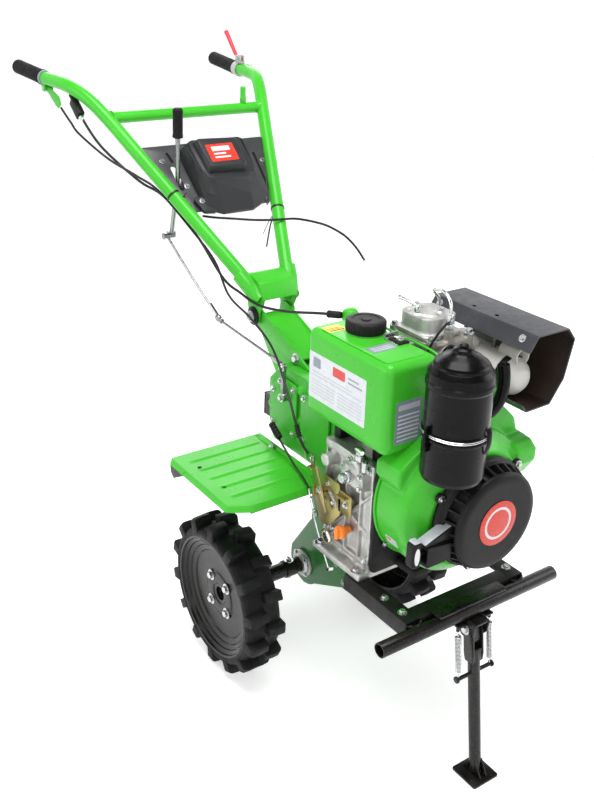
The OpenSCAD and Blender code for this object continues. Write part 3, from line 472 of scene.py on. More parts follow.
def tube(points, radius, sides=16, smooth=True, step=6.0, flat=None, inner=None):
    """Round tube along points in millimetres.

    radius is a number or a function of the share along it, flat(share) gives a width and a height factor,
    and inner is the bore radius of an open tube.
    """
    line = smooth_path(points, step) if smooth else [Vector(p) for p in points]
    lengths = [0.0]
    for a, b in zip(line, line[1:]):
        lengths.append(lengths[-1] + (b - a).length)
    u = None
    verts, faces = [], []
    rings = []
    for i, p in enumerate(line):
        d = (line[min(i + 1, len(line) - 1)] - line[max(i - 1, 0)]).normalized()
        if u is None:
            u = frame_of(d)[0]
        u = (u - d * u.dot(d)).normalized()
        rings.append((p, u.copy(), d.cross(u)))

    def add(rad, order):
        """Adds the rings of one wall; order -1 turns its faces inwards."""
        base = len(verts)
        for i, (p, a, b) in enumerate(rings):
            share = lengths[i] / lengths[-1]
            r = rad(share) if callable(rad) else rad
            fu, fv = flat(share) if flat else (1, 1)
            for k in range(sides):
                t = 2 * math.pi * k / sides
                q = p + a * (r * fu * math.cos(t)) + b * (r * fv * math.sin(t))
                verts.append(P(*q))
        faces.extend(quad[::order] for quad in skin(len(rings), sides, base))
        return base

    outer = add(radius, 1)
    last = (len(rings) - 1) * sides
    if inner:
        hole = add(inner, -1)
        for start in (0, last):
            for k in range(sides):
                m = (k + 1) % sides
                faces.append((outer + start + k, hole + start + k, hole + start + m, outer + start + m))
    else:
        faces.append(tuple(outer + k for k in range(sides))[::-1])
        faces.append(tuple(outer + last + k for k in range(sides)))
    return verts, faces


def millimetres(p):
    """The reverse of P."""
    return (p.x - AXLE_X) * 1000, p.y * 1000, p.z * 1000


def around_crank(shape, angle):
    """A shape made round the X axis, turned by the angle and moved to the crankshaft."""
    c, s = math.cos(angle), math.sin(angle)
    out = []
    for p in shape[0]:
        x, y, z = millimetres(p)
        out.append(P(x, CRANK_Y + z * c - y * s, CRANK_Z + z * s + y * c))
    return out, shape[1]


def tilted(shape, base, angle):
    """A shape made at the origin, tipped nose down by the angle and moved to base."""
    c, s = math.cos(angle), math.sin(angle)
    out = []
    for p in shape[0]:
        x, y, z = millimetres(p)
        out.append(P(base[0] + x * c + z * s, base[1] + y, base[2] - x * s + z * c))
    return out, shape[1]


def place(shape, at, direction, turn=0.0):
    """A shape made round the local Z axis at the origin, in millimetres, moved to a point and direction."""
    u, v, w = frame_of(direction)
    c, s = math.cos(turn), math.sin(turn)
    uu, vv = u * c + v * s, v * c - u * s
    verts, faces = shape
    o = P(*at)
    return [o + (uu * p[0] + vv * p[1] + w * p[2]) / 1000 for p in verts], faces


def hex_bolt(r=6.0, head=5.0, washer=True):
    """Hexagon head with a chamfer, and a washer under it, round local Z, in millimetres."""
    rings = []
    if washer:
        rings += [(24, r * 1.75, 0.0), (24, r * 1.75, 1.6), (24, r * 1.2, 1.8)]
    low = 1.8 if washer else 0.0
    rings += [(24, r, low), (6, r * 1.12, low + 0.3), (6, r * 1.12, low + head - 1.0),
              (24, r * 0.92, low + head)]
    verts = []
    sides = 24
    for kind, radius, z in rings:
        for k in range(sides):
            a = 2 * math.pi * k / sides
            rr = radius
            if kind == 6:
                rr = radius * math.cos(math.pi / 6) / math.cos((a % (math.pi / 3)) - math.pi / 6)
            verts.append((rr * math.cos(a), rr * math.sin(a), z))
    top = (len(rings) - 1) * sides
    return verts, skin(len(rings), sides) + [tuple(range(top, top + sides)), tuple(range(sides))[::-1]]


def bolts(name, places, body, r=6.0, head=5.0, washer=True, **more):
    """Hexagon bolts at (point, direction) pairs, as one piece."""
    shapes = [place(hex_bolt(r, head, washer), at, d, 0.37 * i) for i, (at, d) in enumerate(places)]
    return piece(name, *join(shapes), STEEL, body, angle=28, **more)


def cast(name, shapes, material, body, replaces=(), voxel=3.0, soften=3, angle=50.0):
    """Shapes fused into one body with rounded edges and corners, as in a casting or a deep pressing."""
    obj = piece(name, *join(shapes), material, body, replaces)
    m = obj.modifiers.new("fuse", "REMESH")
    m.mode = "VOXEL"
    m.voxel_size = voxel / 1000 * 1.0
    m.use_smooth_shade = True
    s = obj.modifiers.new("soften", "SMOOTH")
    s.factor = 0.5
    s.iterations = soften
    apply_modifiers(obj)
    shade(obj.data, angle)
    return obj


def carried(node, material):
    """A CAD node that stays, with its own finish."""
    obj = frame["nodes"][node]
    obj.data.materials.clear()
    obj.data.materials.append(material)
    return obj


# ---------------------------------------------------------------- wheels
TYRE_IN, TYRE_OUT = 215.0, 315.0
LUGS = 14
DIAGONALS = (45, 135, 225, 315)


def wheel(side, name):
    """Rim and tyre of one wheel; side is -1 for the operator's right."""
    axis = (0, side, 0)
    at = (0, 0, AXLE_Z)
    barrel = [(216, 153), (216, 160), (222, 160), (226, 156.5), (304, 156.5), (308, 160), (312, 160),
              (312, 153.5), (306, 151.5), (302, 143), (298, 141.5), (294.5, 132), (291, 129.5),
              (288.5, 117), (285, 114), (285, 62), (287.5, 56), (287.5, 30), (285, 26), (285, 17.5),
              (277, 17.5), (277, 112), (281, 125), (285, 138), (292, 149), (222, 152)]
    profile = rounded(barrel, 1.8, 3, closed=True)
    piece("rim_" + name, *lathe(at, axis, profile, 120, closed=True), RIM, "wheels", ("wheel_rims",),
          angle=32)
    carcass = rounded([(218, 159.5), (216, 167), (219, 175), (228, 179), (263, 179.5), (263.8, 181),
                       (266.2, 181), (267, 179.5), (302, 179), (311, 175), (314, 167), (312, 159.5)], 4, 5)
    shapes = [lathe(at, axis, carcass + [(300, 157), (230, 157)], 144, closed=True)]
    for k in range(LUGS * 2):
        near = k % 2 == 0
        turn = 360 / (2 * LUGS) * k
        # from the middle of the tread to the side wall: way along the axle, root and top radius, half width
        stations = [(0, 177, 203.6, 11.4), (24, 177, 204.4, 11.8), (42, 175, 203.0, 12.2),
                    (48.5, 170, 197.0, 12.2), (49.6, 166, 180.0, 10.4)]
        mid = (TYRE_IN + TYRE_OUT) / 2
        verts = []
        for off, low, high, half in stations:
            along = mid + (off if near else -off)
            lean = off * 0.10
            for r, w in ((low, half + 1.6), (high, half), (high, -half), (low, -half - 1.6)):
                a = math.radians(turn) + (w + lean) / r
                verts.append(P(r * math.sin(a), side * along, AXLE_Z + r * math.cos(a)))
        faces = skin(len(stations), 4) + [(3, 2, 1, 0),
                                          tuple(range(len(stations) * 4 - 4, len(stations) * 4))]
        shapes.append((verts, faces))
    piece("tyre_" + name, *join(shapes[:1]), TYRE, "wheels", ("tyres",), angle=40)
    piece("tyre_lugs_" + name, *join(shapes[1:]), TYRE, "wheels", angle=30, bevel=2.2, steps=2)
    rib = [lathe(at, axis, rounded([(o, 170), (o, 171.6), (o + s, 171.6), (o + s, 170)], 0.5, 2,
                                   closed=True), 120, closed=True) for o, s in ((217.2, 2.2), (310.6, 2.2))]
    piece("tyre_rings_" + name, *join(rib), TYRE, "wheels")
    holes = circle(0, AXLE_Z, 52, DIAGONALS)
    heads = [((x, side * 287.5, z), axis) for x, z in holes]
    nuts = [((x, side * 266.5, z), (0, -side, 0)) for x, z in holes]
    bolts("wheel_bolts_" + name, heads + nuts, "wheels", 8.2, 7, replaces=("wheel_bolts",))
    sleeve = rounded([(48, 17.5), (48, 20), (58, 20), (60, 23.5), (92, 23.5), (94, 20), (262, 20),
                      (267, 24), (267, 64), (268.5, 68), (277, 68), (277, 17.5)], 1.2, 3, closed=True)
    piece("axle_sleeve_" + name, *lathe(at, axis, sleeve, 64, closed=True), BLACK, "wheels",
          ("axle_sleeves",))
    pin = [place(hex_bolt(7, 6, True), (0, side * 76, AXLE_Z + 23), UP),
           place(hex_bolt(7, 6, False), (0, side * 76, AXLE_Z - 23), (0, 0, -1))]
    pin.append(tube([(-9, side * 76, AXLE_Z + 30), (0, side * 76, AXLE_Z + 33),
                     (9, side * 76, AXLE_Z + 30)], 1.4, 8))
    piece("sleeve_pin_" + name, *join(pin), STEEL, "wheels")


for side, name in SIDES:
    wheel(side, name)
shaft = [lathe((0, 0, AXLE_Z), LEFT, [(-262, 16.4), (-60, 16.4)], 6),
         lathe((0, 0, AXLE_Z), LEFT, rounded([(-60, 14.9), (60, 14.9)], 1), 48),
         lathe((0, 0, AXLE_Z), LEFT, [(60, 16.4), (262, 16.4)], 6)]
piece("axle_bar", *join(shaft), STEEL, "wheels", ("axle_shaft",))
carried("axle_gear", STEEL)
carried("idler_gear", STEEL)
carried("axle_bearings", STEEL)

# ---------------------------------------------------------------- drive case and gearbox
CASE_HALF = 27
case_outline = [(30, 225), (150, 240), (168, 560), (20, 560)]
toe = [(0, AXLE_Z - 66), (164, 221), (164, 307), (20, 330)]
heel = [(-62, 228), (0, 228), (40, 330), (22, 350)]
shapes = [prism(case_outline, "xz", -CASE_HALF, CASE_HALF), prism(toe, "xz", -CASE_HALF, CASE_HALF),
          prism(heel, "xz", -CASE_HALF, CASE_HALF),
          lathe((0, -CASE_HALF, AXLE_Z), LEFT, bar(63, 2 * CASE_HALF), 72),
          lathe((174, -CASE_HALF, 264), LEFT, bar(42, 2 * CASE_HALF), 60)]
shapes += [prism([(0, 137), (170, 219), (218, 250), (218, 282), (190, 308), (166, 316), (169, 560),
                  (20, 560), (20, 352), (-64, 232), (-66, 190), (-46, 152)], "xz", -5, 5)]
# the drive case casting takes the darker green, which is painted shade
cast("drive_case_casting", shapes, SHADED_GREEN, "chassis", ("drive_case",), 2.6, 3)
flange = [(0, 38), (6.5, 38), (8, 36), (8, 30), (12, 29), (15, 27), (16, 25), (16, 20), (12, 19.5),
          (12, 15.4)]
for side, name in SIDES:
    piece("axle_cap_" + name, *lathe((0, side * 29, AXLE_Z), (0, side, 0), rounded(flange, 1.0, 2), 72),
          ALLOY, "chassis", ("axle_caps",), angle=30)
    seal = rounded([(14, 15.4), (14, 21), (18.5, 20), (18.5, 15.4)], 1, 3, closed=True)
    piece("axle_seal_" + name, *lathe((0, side * 29, AXLE_Z), (0, side, 0), seal, 48, closed=True), SEAL,
          "chassis")
    bolts("cap_bolts_" + name, [((x, side * 36.5, z), (0, side, 0))
                                for x, z in circle(0, AXLE_Z, 33, DIAGONALS)], "chassis", 4, 3.5)
bolts("case_bolts", [((x, -27.2, z), RIGHT)
                     for x, z in ((174, 244), (192, 282), (44, 380), (150, 390), (44, 500), (150, 510),
                                  (140, 280))], "chassis", 5, 4.5, replaces=("fasteners",))

box = [(-105, 575), (-80, 552), (170, 552), (180, 575), (180, 745), (150, 765), (-55, 765), (-105, 715)]
shapes = [prism(box, "xz", -74, 74), prism([(60, 765), (130, 765), (110, 789), (80, 789)], "xz", -38, 38)]
shapes += [prism([(-105, 640), (-105, 652), (180, 652), (180, 640)], "xz", -78, 78),
           prism([(60, 560), (70, 560), (70, 765), (60, 765)], "xz", -78, 78)]
for x, z in ((-78, 604), (-78, 706), (34, 604), (34, 728), (150, 604), (150, 722)):
    shapes.append(lathe((x, -81, z), LEFT, bar(12, 162), 32))
cast("gearbox_casting", shapes, GREEN_CAST, "chassis", ("gearbox_case",), 3.2, 3)
for side, name in SIDES:
    cover = rounded([(-86, 594), (24, 594), (24, 736), (-48, 740), (-86, 700)], 14, 5, closed=True)
    second = rounded([(44, 596), (156, 596), (156, 726), (44, 732)], 14, 5, closed=True)
    for k, outline in enumerate((cover, second)):
        d0, d1 = sorted((side * 76, side * 82.5))
        piece("gearbox_cover_%s_%d" % (name, k), *prism(outline, "xz", d0, d1), GREEN_CAST, "chassis",
              bevel=1.6, steps=3)
    spots = [(-76, 606), (12, 606), (12, 724), (-44, 728), (-76, 696), (56, 608), (144, 608), (144, 714),
             (56, 720)]
    bolts("cover_bolts_" + name, [((x, side * 82.5, z), (0, side, 0)) for x, z in spots], "chassis", 4.6,
          4.5)
piece("selector_boss", *lathe((-12, -82, 700), RIGHT, [(0, 17)] + [(1.5, 17), (2, 11)], 40), GREEN_CAST,
      "chassis")
fill = rounded([(0, 16), (5, 16), (6, 13), (14, 13), (15, 11), (15, 0)], 1.0, 3)
piece("fill_plug", *lathe((95, 0, 789), UP, fill, 40), PLASTIC, "chassis")

# clutch housing
bell = rounded([(0, 66), (0, 76), (8, 79), (32, 100), (36, 106), (42, 107.5), (42, 66)], 1.5, 3,
               closed=True)
piece("clutch_bell", *lathe((180, CRANK_Y, CRANK_Z), FRONT, bell, 90, closed=True), GREEN_CAST, "chassis",
      ("clutch_housing",))
rib = prism([(182, 75), (218, 106), (222, 106), (222, 98), (182, 66)], "xz", -3, 3)
ribs = [around_crank(rib, math.radians(22.5 + 45 * k)) for k in range(8)]
ribs.append(block((183, -48, 698), (211, 90, 720)))
ribs += [block((183, -2, 716), (205, 5.6, 757)), block((183, 22.4, 716), (205, 30, 757))]
piece("clutch_bell_ribs", *join(ribs), GREEN_CAST, "chassis", bevel=1.5, steps=2)
carried("clutch_pack", IRON)
arm = [tube([(194, 14, 748), (178, 14, 776), (150, 13, 826), (104, 12, 905)], 5.6, 16),
       lathe((194, 6.5, 748), LEFT, disc(12, 15, 5, 1, 3), 32)]
piece("release_arm_bar", *join(arm), GREEN, "release_arm", ("release_arm",))
knob = rounded([(0, 0), (0, 15), (3, 20), (14, 21.5), (25, 20), (28, 15), (28, 0)], 4, 5)
piece("release_arm_knob", *lathe((96, 0, 920), LEFT, knob, 48), GREEN, "release_arm")
piece("release_arm_pin", *lathe((194, -3, 748), LEFT,
                                [(0, 0), (0, 8.5), (2, 8.5), (2, 5.8), (34, 5.8), (34, 0)], 24), STEEL,
      "release_arm")


# ---------------------------------------------------------------- mudguards
def sheet(name, outline_grid, thick, material, body, replaces=()):
    """Thin pressed sheet from a grid of points in millimetres, given as rows."""
    rows, cols = len(outline_grid), len(outline_grid[0])
    verts = [P(*p) for row in outline_grid for p in row]
    faces = [(i * cols + j, i * cols + j + 1, (i + 1) * cols + j + 1, (i + 1) * cols + j)
             for i in range(rows - 1) for j in range(cols - 1)]
    obj = piece(name, verts, faces, material, body, replaces)
    m = obj.modifiers.new("thickness", "SOLIDIFY")
    m.thickness = thick / 1000
    m.offset = -1
    apply_modifiers(obj)
    shade(obj.data, 40)
    return obj


def step(x, a, b):
    """Smooth step from 0 at a to 1 at b."""
    t = max(0.0, min(1.0, (x - a) / (b - a)))
    return t * t * (3 - 2 * t)


def fender(side, name):
    """Mudguard of one side, with dark discs of painted shade where its holes are, its bolts and its stays.
    """
    x0, x1, y0, y1, top = -132.0, 174.0, 88.0, 350.0, 552.0
    rear_round, chamfer_x = 13.0, 138.0
    lip_drop, lip_run, ridge_rise, groove_depth = 15.0, 6.5, 2.0, 2.2
    ridges = (-84, -36, 12, 60, 108)

    def outer_edge(x):
        """Outer edge of the sheet: rounded at the back, cut off at the front."""
        if x < x0 + rear_round:
            return y1 - rear_round + math.sqrt(rear_round ** 2 - (x0 + rear_round - x) ** 2)
        run = max(0.0, x - chamfer_x)
        return y1 - 1.9 * run * run / (run + 10)

    grid = []
    nx, ny = 102, 88
    for i in range(nx + 1):
        row = []
        for j in range(ny + 1):
            px = x0 + (x1 - x0) * i / nx
            limit = outer_edge(px)
            py = y0 + (limit - y0) * j / ny
            slant = 0.55 if px > chamfer_x + 6 else 1.0
            edge = max(0.0, min(px - x0, x1 - px, (limit - py) * slant))
            # rolled lip at the free edges
            z = top - lip_drop * (1 - step(edge, 0.0, lip_run)) ** 1.5
            inside = step(edge, 10, 18)
            ridge = 0.0
            for r in ridges:
                d = abs(px - r)
                ends = step(py, y0 + 26, y0 + 40) * (1 - step(py, y1 - 44, y1 - 30))
                ridge = max(ridge, (1 - step(d, 3.0, 8.0)) * ends)
            z += ridge_rise * ridge * inside
            z -= groove_depth * (1 - step(abs(py - (y0 + 14)), 2, 6)) * inside
            row.append((px, side * py, z))
        grid.append(row)
    if side < 0:
        grid = grid[::-1]
    sheet("mudguard_" + name, grid, 1.6, GREEN, "chassis", ("fenders",))
    # painted shade: flat dark discs laid on the sheet where its holes are
    holes = [lathe((x, side * y, 553.2), UP, [(0, 5.2), (0.5, 5.2), (0.5, 0)], 24)
             for x, y in ((-46, 310), (63, 307))]
    piece("mudguard_hole_shade_" + name, *join(holes), PAINTED_SHADE, "chassis")
    bolts("mudguard_bolts_" + name, [((x, side * 101, 552), UP) for x in (-45, 140)], "chassis", 6, 5)
    stay = [block((122, 60, 528), (164, 296, 531.5)), block((120, 60, 514), (123.5, 150, 530)),
            block((-60, 76, 536), (-30, 346, 539.5)),
            prism([(-128, 539), (-30, 539), (-60, 534), (-112, 503), (-126, 515)], "xz", 344.5, 347.2),
            block((122, 82, 531), (158, 108, 549)), block((-58, 86, 539), (-32, 108, 549))]
    made = []
    for v, f in stay:
        made.append(([Vector((p.x, side * p.y, p.z)) for p in v],
                     [tuple(reversed(q)) for q in f] if side < 0 else f))
    piece("mudguard_stays_" + name, *join(made), FRAME_BLACK, "chassis", ("fender_stays",), bevel=0.8)


fender(-1, "right")
fender(1, "left")


# ---------------------------------------------------------------- frame, bumper, drop leg
def angle_iron(a, b, inward, size=40.0, thick=4.0):
    """Angle iron along a straight line in plan; inward points to where the flat leg lies."""
    profile = rounded([(0, 0), (size, 0), (size, -thick), (thick + 0.5, -thick), (thick, -thick - 0.5),
                       (thick, -size), (0, -size)], [1.2, 1.6, 1.6, 4.5, 4.5, 1.6, 1.6], 3, closed=True)
    a, b, inward = Vector(a), Vector(b), Vector(inward)
    verts = []
    for end in (a, b):
        verts += [P(*(end + inward * u + Vector((0, 0, v)))) for u, v in profile]
    return solid(verts, len(profile))


RAIL_X, RAIL_Y, RAIL_Z, NOSE_X = 352, 170, 430, 563
rails = [angle_iron((RAIL_X, s * RAIL_Y, RAIL_Z), (NOSE_X, s * RAIL_Y, RAIL_Z), (0, -s, 0))
         for s in (-1, 1)]
rails += [angle_iron((NOSE_X, -166, 429.6), (NOSE_X, 166, 429.6), BACK),
          block((RAIL_X, -166, 426), (392, 166, 429.6))]
piece("frame_rails", *join(rails), FRAME_BLACK, "chassis", ("chassis_frame",), angle=30)
plate = rounded([(556, -98), (588, -98), (588, 98), (556, 98)], 5, 4, closed=True)
piece("frame_nose_plate", *prism(plate, "xy", 425, 431.5), BLACK, "chassis", bevel=1.5, steps=3)
tip = tube([(579, -251.5, 409), (579, 251.5, 409)], 16.5, 48, smooth=False, inner=13.5)
piece("bumper_bar", *tip, BLACK, "chassis", ("bumper_tube",), bevel=0.8, angle=32)
ear = rounded([(566, 402), (618, 396), (615, 366), (604, 352), (580, 352), (569, 366)],
              [2, 6, 10, 10, 10, 10], 4, closed=True)
fork = [prism(ear, "xz", 17.4, 22), prism(ear, "xz", -22, -17.4), block((566, -20, 390.5), (616, 20, 396))]
fork += [block((585, 17, 388.5), (599, 51, 393.5)), block((585, -51, 388.5), (599, -17, 393.5))]
fork += [lathe((592, s * 46, 378), UP, plug(4, 12), 20) for s in (-1, 1)]
piece("bumper_fork", *join(fork), BLACK, "chassis", bevel=1.0)
weld = []
for s in (-1, 1):
    weld.append(tube([(563, s * 168, 424), (570, s * 160, 424), (574, s * 145, 424), (566, s * 132, 425)],
                     lambda t: 2.6 + 0.7 * math.sin(60 * t), 10, step=1.5))
    weld.append(tube([(566, s * 22.5, 396), (580, s * 23.5, 393), (600, s * 23, 396)],
                     lambda t: 1.8 + 0.5 * math.sin(50 * t), 10, step=1.5))
piece("bumper_welds", *join(weld), BLACK, "chassis")

LEG_X, LEG_Z = 592, 374
leg_top, leg_foot = Vector((LEG_X, 0, LEG_Z)), Vector((650, 0, 6))
along = (leg_foot - leg_top).normalized()


def leg_at(mm, y=0.0):
    """Point on the leg's middle line, so many millimetres down from its pivot."""
    q = leg_top + along * mm
    return (q.x, y, q.z)


piece("drop_leg_tube", *tube([leg_at(58), leg_at(368)], 13.6, 40, smooth=False), BLACK, "stand",
      ("stand_leg",))
side_dir = Vector((along.z, 0, -along.x))


def leg_prism(outline, y0, y1):
    """Plate along the leg; outline holds (distance down the leg, distance in front of it) pairs."""
    pts = []
    for d, f in outline:
        q = leg_top + along * d - side_dir * f
        pts.append((q.x, q.z))
    return prism(pts, "xz", y0, y1)


yoke = rounded([(-12, -10), (-12, 10), (8, 15), (66, 15), (84, 12), (84, -12), (66, -15), (8, -15)],
               [8, 8, 6, 4, 3, 3, 4, 6], 4, closed=True)
shapes = [leg_prism(yoke, -16, -11), leg_prism(yoke, 11, 16),
          leg_prism([(52, -14), (52, 14), (84, 12), (84, -12)], -14, 14)]
shapes.append(lathe((LEG_X, -23, LEG_Z), LEFT, plug(8, 46), 32))
piece("drop_leg_yoke", *join(shapes), BLACK, "stand", bevel=1.2)
shapes = [tube([(610, -50, 262), (610, 50, 262)], 4.6, 20, smooth=False)]
shapes += [lathe((610, s * 49, 262), (0, s, 0), disc(8, 5, 0, 1, 2), 24) for s in (-1, 1)]
piece("drop_leg_lugs", *join(shapes), BLACK, "stand")
foot = rounded([(613, -37), (687, -37), (687, 37), (613, 37)], 5, 4, closed=True)
shapes = [prism(foot, "xy", 0, 6)]
for s in (-1, 1):
    shapes.append(prism([(636, 6), (622, 6), (641, 44)], "xz", s * 9 - 2, s * 9 + 2))
    shapes.append(prism([(661, 6), (678, 6), (655, 44)], "xz", s * 9 - 2, s * 9 + 2))
piece("drop_leg_foot", *join(shapes), BLACK, "stand", bevel=0.9)
bolts("drop_leg_bolt", [((LEG_X, -23, LEG_Z), RIGHT), ((LEG_X, 23, LEG_Z), LEFT)], "stand", 7, 5)


def coil(a, b, radius, wire, turns, hook=14.0):
    """Tension spring: closed coils with a straight hook at each end."""
    a, b = Vector(a), Vector(b)
    u, v, w = frame_of(b - a)
    total = (b - a).length
    pts = [a, a + w * (hook * 0.6)]
    body0, body1 = hook, total - hook
    steps = int(turns * 14)
    for i in range(steps + 1):
        t = i / steps
        ang = 2 * math.pi * turns * t
        pts.append(a + w * (body0 + (body1 - body0) * t) + (u * math.cos(ang) + v * math.sin(ang)) * radius)
    pts += [b - w * (hook * 0.6), b]
    return tube(pts, wire, 8, smooth=False)


springs = [coil((592, s * 46, 380), (610, s * 46, 266), 6.2, 1.35, 27) for s in (-1, 1)]
drop_springs = piece("drop_leg_springs", *join(springs), CHROME, None, ("stand_springs",))
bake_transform(drop_springs)

# ---------------------------------------------------------------- engine
carried("crankshaft", STEEL)
carried("crank_bearings", STEEL)
carried("flywheel", IRON)

# crankcase: a ribbed alloy casting on its foot plate
shapes = [block((224, -126, 448), (394, 146, 706)), block((222, -166, 430), (396, 166, 446)),
          block((224, -139, 686), (394, -120, 708)), block((224, -137, 446), (394, -120, 462))]
for x, z1 in ((226, 700), (250, 610), (300, 640), (350, 640), (388, 700)):
    shapes.append(block((x, -139, 446), (x + 5, -126, z1)))
shapes += [prism([(232, 470), (394, 640), (394, 648), (232, 478)], "xz", -136, -126),
           prism([(300, 560), (394, 520), (394, 528), (300, 568)], "xz", -136, -126)]
shapes += [lathe((252, -163, 668), LEFT, [(0, 14), (40, 16)], 40),
           block((298, -152, 640), (374, -120, 684)),
           lathe((352, -160, 694), LEFT, [(0, 17), (40, 19)], 40)]
for x, z in ((238, 696), (318, 696), (384, 696), (384, 470), (238, 470)):
    shapes.append(lathe((x, -142, z), LEFT, [(0, 9), (20, 10)], 28))
cast("crankcase_casting", shapes, ALLOY, "chassis", ("crankcase",), 2.6, 2, 45)
bolts("crankcase_bolts", [((x, -142, z), RIGHT)
                          for x, z in ((318, 696), (384, 696), (384, 470), (238, 470))] +
      [((306, -152, 648), RIGHT), ((366, -152, 648), RIGHT), ((306, -152, 676), RIGHT),
       ((366, -152, 676), RIGHT)], "chassis", 4.6, 4.5)
feet = [((x, y, 446), UP) for x in (242, 376) for y in (-156, 156)]
bolts("engine_feet_bolts", feet, "chassis", 7.5, 6)
stub = rounded([(0, 15), (8, 15), (9, 12), (22, 12), (23, 14.5), (30, 14.5), (32, 12), (32, 0)], 1.2, 3)
piece("oil_filter_stub", *lathe((268, -130, 478), RIGHT, stub, 44), CHROME, "chassis")
ring = rounded([(27, 14.6), (27, 17), (31, 17), (31, 14.6)], 1, 3, closed=True)
piece("oil_filter_ring", *lathe((268, -130, 478), RIGHT, ring, 44, closed=True), ZINC, "chassis")

# plate between crankcase and shroud, with its gasket
band = rounded([(-138, 446), (150, 446), (150, 724), (-100, 724), (-138, 690)], [14, 14, 14, 40, 20], 5,
               closed=True)
piece("gasket_plate", *prism(band, "yz", 396, 404), SEAL, "chassis", ("case_gasket",), bevel=1.4)


# cylinder barrel with round-cornered fins
def round_box(x0, x1, y0, y1, r, steps=6):
    """Rectangle with rounded corners."""
    return rounded([(x0, y0), (x1, y0), (x1, y1), (x0, y1)], r, steps, closed=True)


shapes = [lathe((335, 42, 708), UP, bar(54, 197), 64)]
for i in range(14):
    z = 716 + i * 13.4
    shapes.append(prism(round_box(272, 398, -18, 104, 24), "xy", z, z + 3.4))
piece("cylinder_fins", *join(shapes), IRON, "chassis", ("cylinder_barrel",), angle=30)

# cylinder head and rocker cover
PORT_Z, INTAKE_Y, EXHAUST_X = 930, 26, 355
HEAD_STUDS = ((276, -8), (394, -8), (276, 96), (394, 96))
shapes = [prism(round_box(270, 402, -13, 103, 13), "xy", 905, 956),
          lathe((395, INTAKE_Y, PORT_Z), FRONT, bar(18, 17), 32),
          lathe((EXHAUST_X, 100, PORT_Z), LEFT, bar(19, 21), 32),
          lathe((392, 40, 950), UP, [(0, 11), (32, 10)], 28), block((300, -24, 915), (350, -10, 948)),
          prism([(0, 940), (40, 940), (60, 905), (-10, 905)], "yz", 396, 408)]
for x, y in HEAD_STUDS:
    shapes.append(lathe((x, y, 900), UP, [(0, 11), (64, 10)], 24))
cast("head_casting", shapes, HEAD_ALLOY, "chassis", ("cylinder_head",), 2.6, 2, 45)
bolts("head_nuts", [((x, y, 963), UP) for x, y in HEAD_STUDS], "chassis", 6.5, 8)
shapes = [prism(round_box(273, 382, -11, 91, 14), "xy", 957, 967),
          prism(round_box(280, 374, -5, 85, 22), "xy", 965, 1001),
          prism(round_box(292, 362, 8, 72, 20), "xy", 998, 1005),
          lathe((300, 30, 1000), UP, [(0, 12), (9, 11)], 28),
          lathe((352, 52, 1000), UP, [(0, 12), (9, 11)], 28),
          lathe((326, 8, 996), UP, [(0, 11), (9, 10)], 28)]
cast("rocker_cover_casting", shapes, ALLOY, "chassis", ("rocker_cover",), 2.2, 3, 45)
bolts("rocker_cover_nuts", [((300, 30, 1008), UP), ((352, 52, 1008), UP)], "chassis", 5.5, 5)
lever = [tube([(326, 8, 1013), (318, 6, 1019), (300, 3, 1022), (282, 0, 1024)], 3.4, 12),
         lathe((326, 8, 1006), UP, rounded([(0, 0), (0, 7), (13, 7), (14, 5), (14, 0)], 1, 3), 28),
         lathe((284, 0.4, 1023.6), (-1, 0, 0.05),
               rounded([(0, 0), (0, 4.4), (9, 4.4), (10, 3), (10, 0)], 1, 3), 20)]
piece("decompression_arm", *join(lever), CHROME, "decompression_lever", ("decompression_lever",))

# injection pump, pipe and injector
pump = [lathe((352, -130, 700), RIGHT,
              rounded([(0, 16), (10, 16), (12, 13), (24, 13), (26, 10), (30, 10), (30, 0)], 1, 3), 40)]
pump += [lathe((352, -144, 706), UP,
               rounded([(0, 0), (0, 12), (16, 12), (18, 9), (30, 9), (31, 7), (31, 0)], 1, 3), 32),
         place(hex_bolt(9, 12, False), (352, -144, 720), UP),
         place(hex_bolt(9, 9, False), (392, 40, 984), UP), place(hex_bolt(7, 9, False), (392, 40, 995), UP)]
piece("injection_pump", *join(pump), STEEL, "chassis", ("injection_gear",))
pipe = [tube([(392, 40, 1000), (391, 42, 1020), (384, 44, 1038), (366, 47, 1050), (340, 52, 1050),
              (316, 58, 1040), (300, 80, 1024), (296, 98, 1004), (296, 100, 940)], 3.4, 14),
        tube([(352, -150, 734), (356, -158, 742), (372, -164, 746), (388, -168, 748)], 4.6, 14)]
pipe += [place(hex_bolt(6.4, 9, False), (392, 40, 1004), UP)]
piece("injection_pipes", *join(pipe), CHROME, "chassis")
piece("leak_hose", *tube([(392, 40, 996), (404, 20, 1000), (408, 0, 990), (404, -14, 968), (398, -20, 948)],
                         2.6, 12), SEAL, "chassis")
# governor bracket on the right of the crankcase
outline = rounded([(184, 622), (292, 622), (300, 590), (300, 548), (262, 500), (228, 492), (200, 560)],
                  [3, 6, 4, 8, 8, 10, 14], 4, closed=True)
shapes = [prism(outline, "xz", -150, -146.6),
          prism(rounded([(292, 556), (338, 556), (338, 610), (292, 610)], 5, 4, closed=True), "xz", -150,
                -146.6), block((184, -160, 618), (196, -146.6, 622)),
          block((184, -150, 616), (196, -146.8, 649)), block((296, -162, 600), (326, -146.6, 603)),
          block((208, -160, 556), (212, -147, 584))]
piece("governor_plate", *join(shapes), ZINC, "chassis", ("governor_bracket",), bevel=0.8)
shapes = [lathe((240, -130, 560), RIGHT, bar(9, 16), 28), lathe((278, -130, 570), RIGHT, bar(8, 16), 28),
          lathe((320, -130, 584), RIGHT, bar(8, 16), 28), lathe((240, -150, 588), RIGHT, bar(9, 8), 28)]
piece("governor_posts", *join(shapes), ZINC, "chassis")
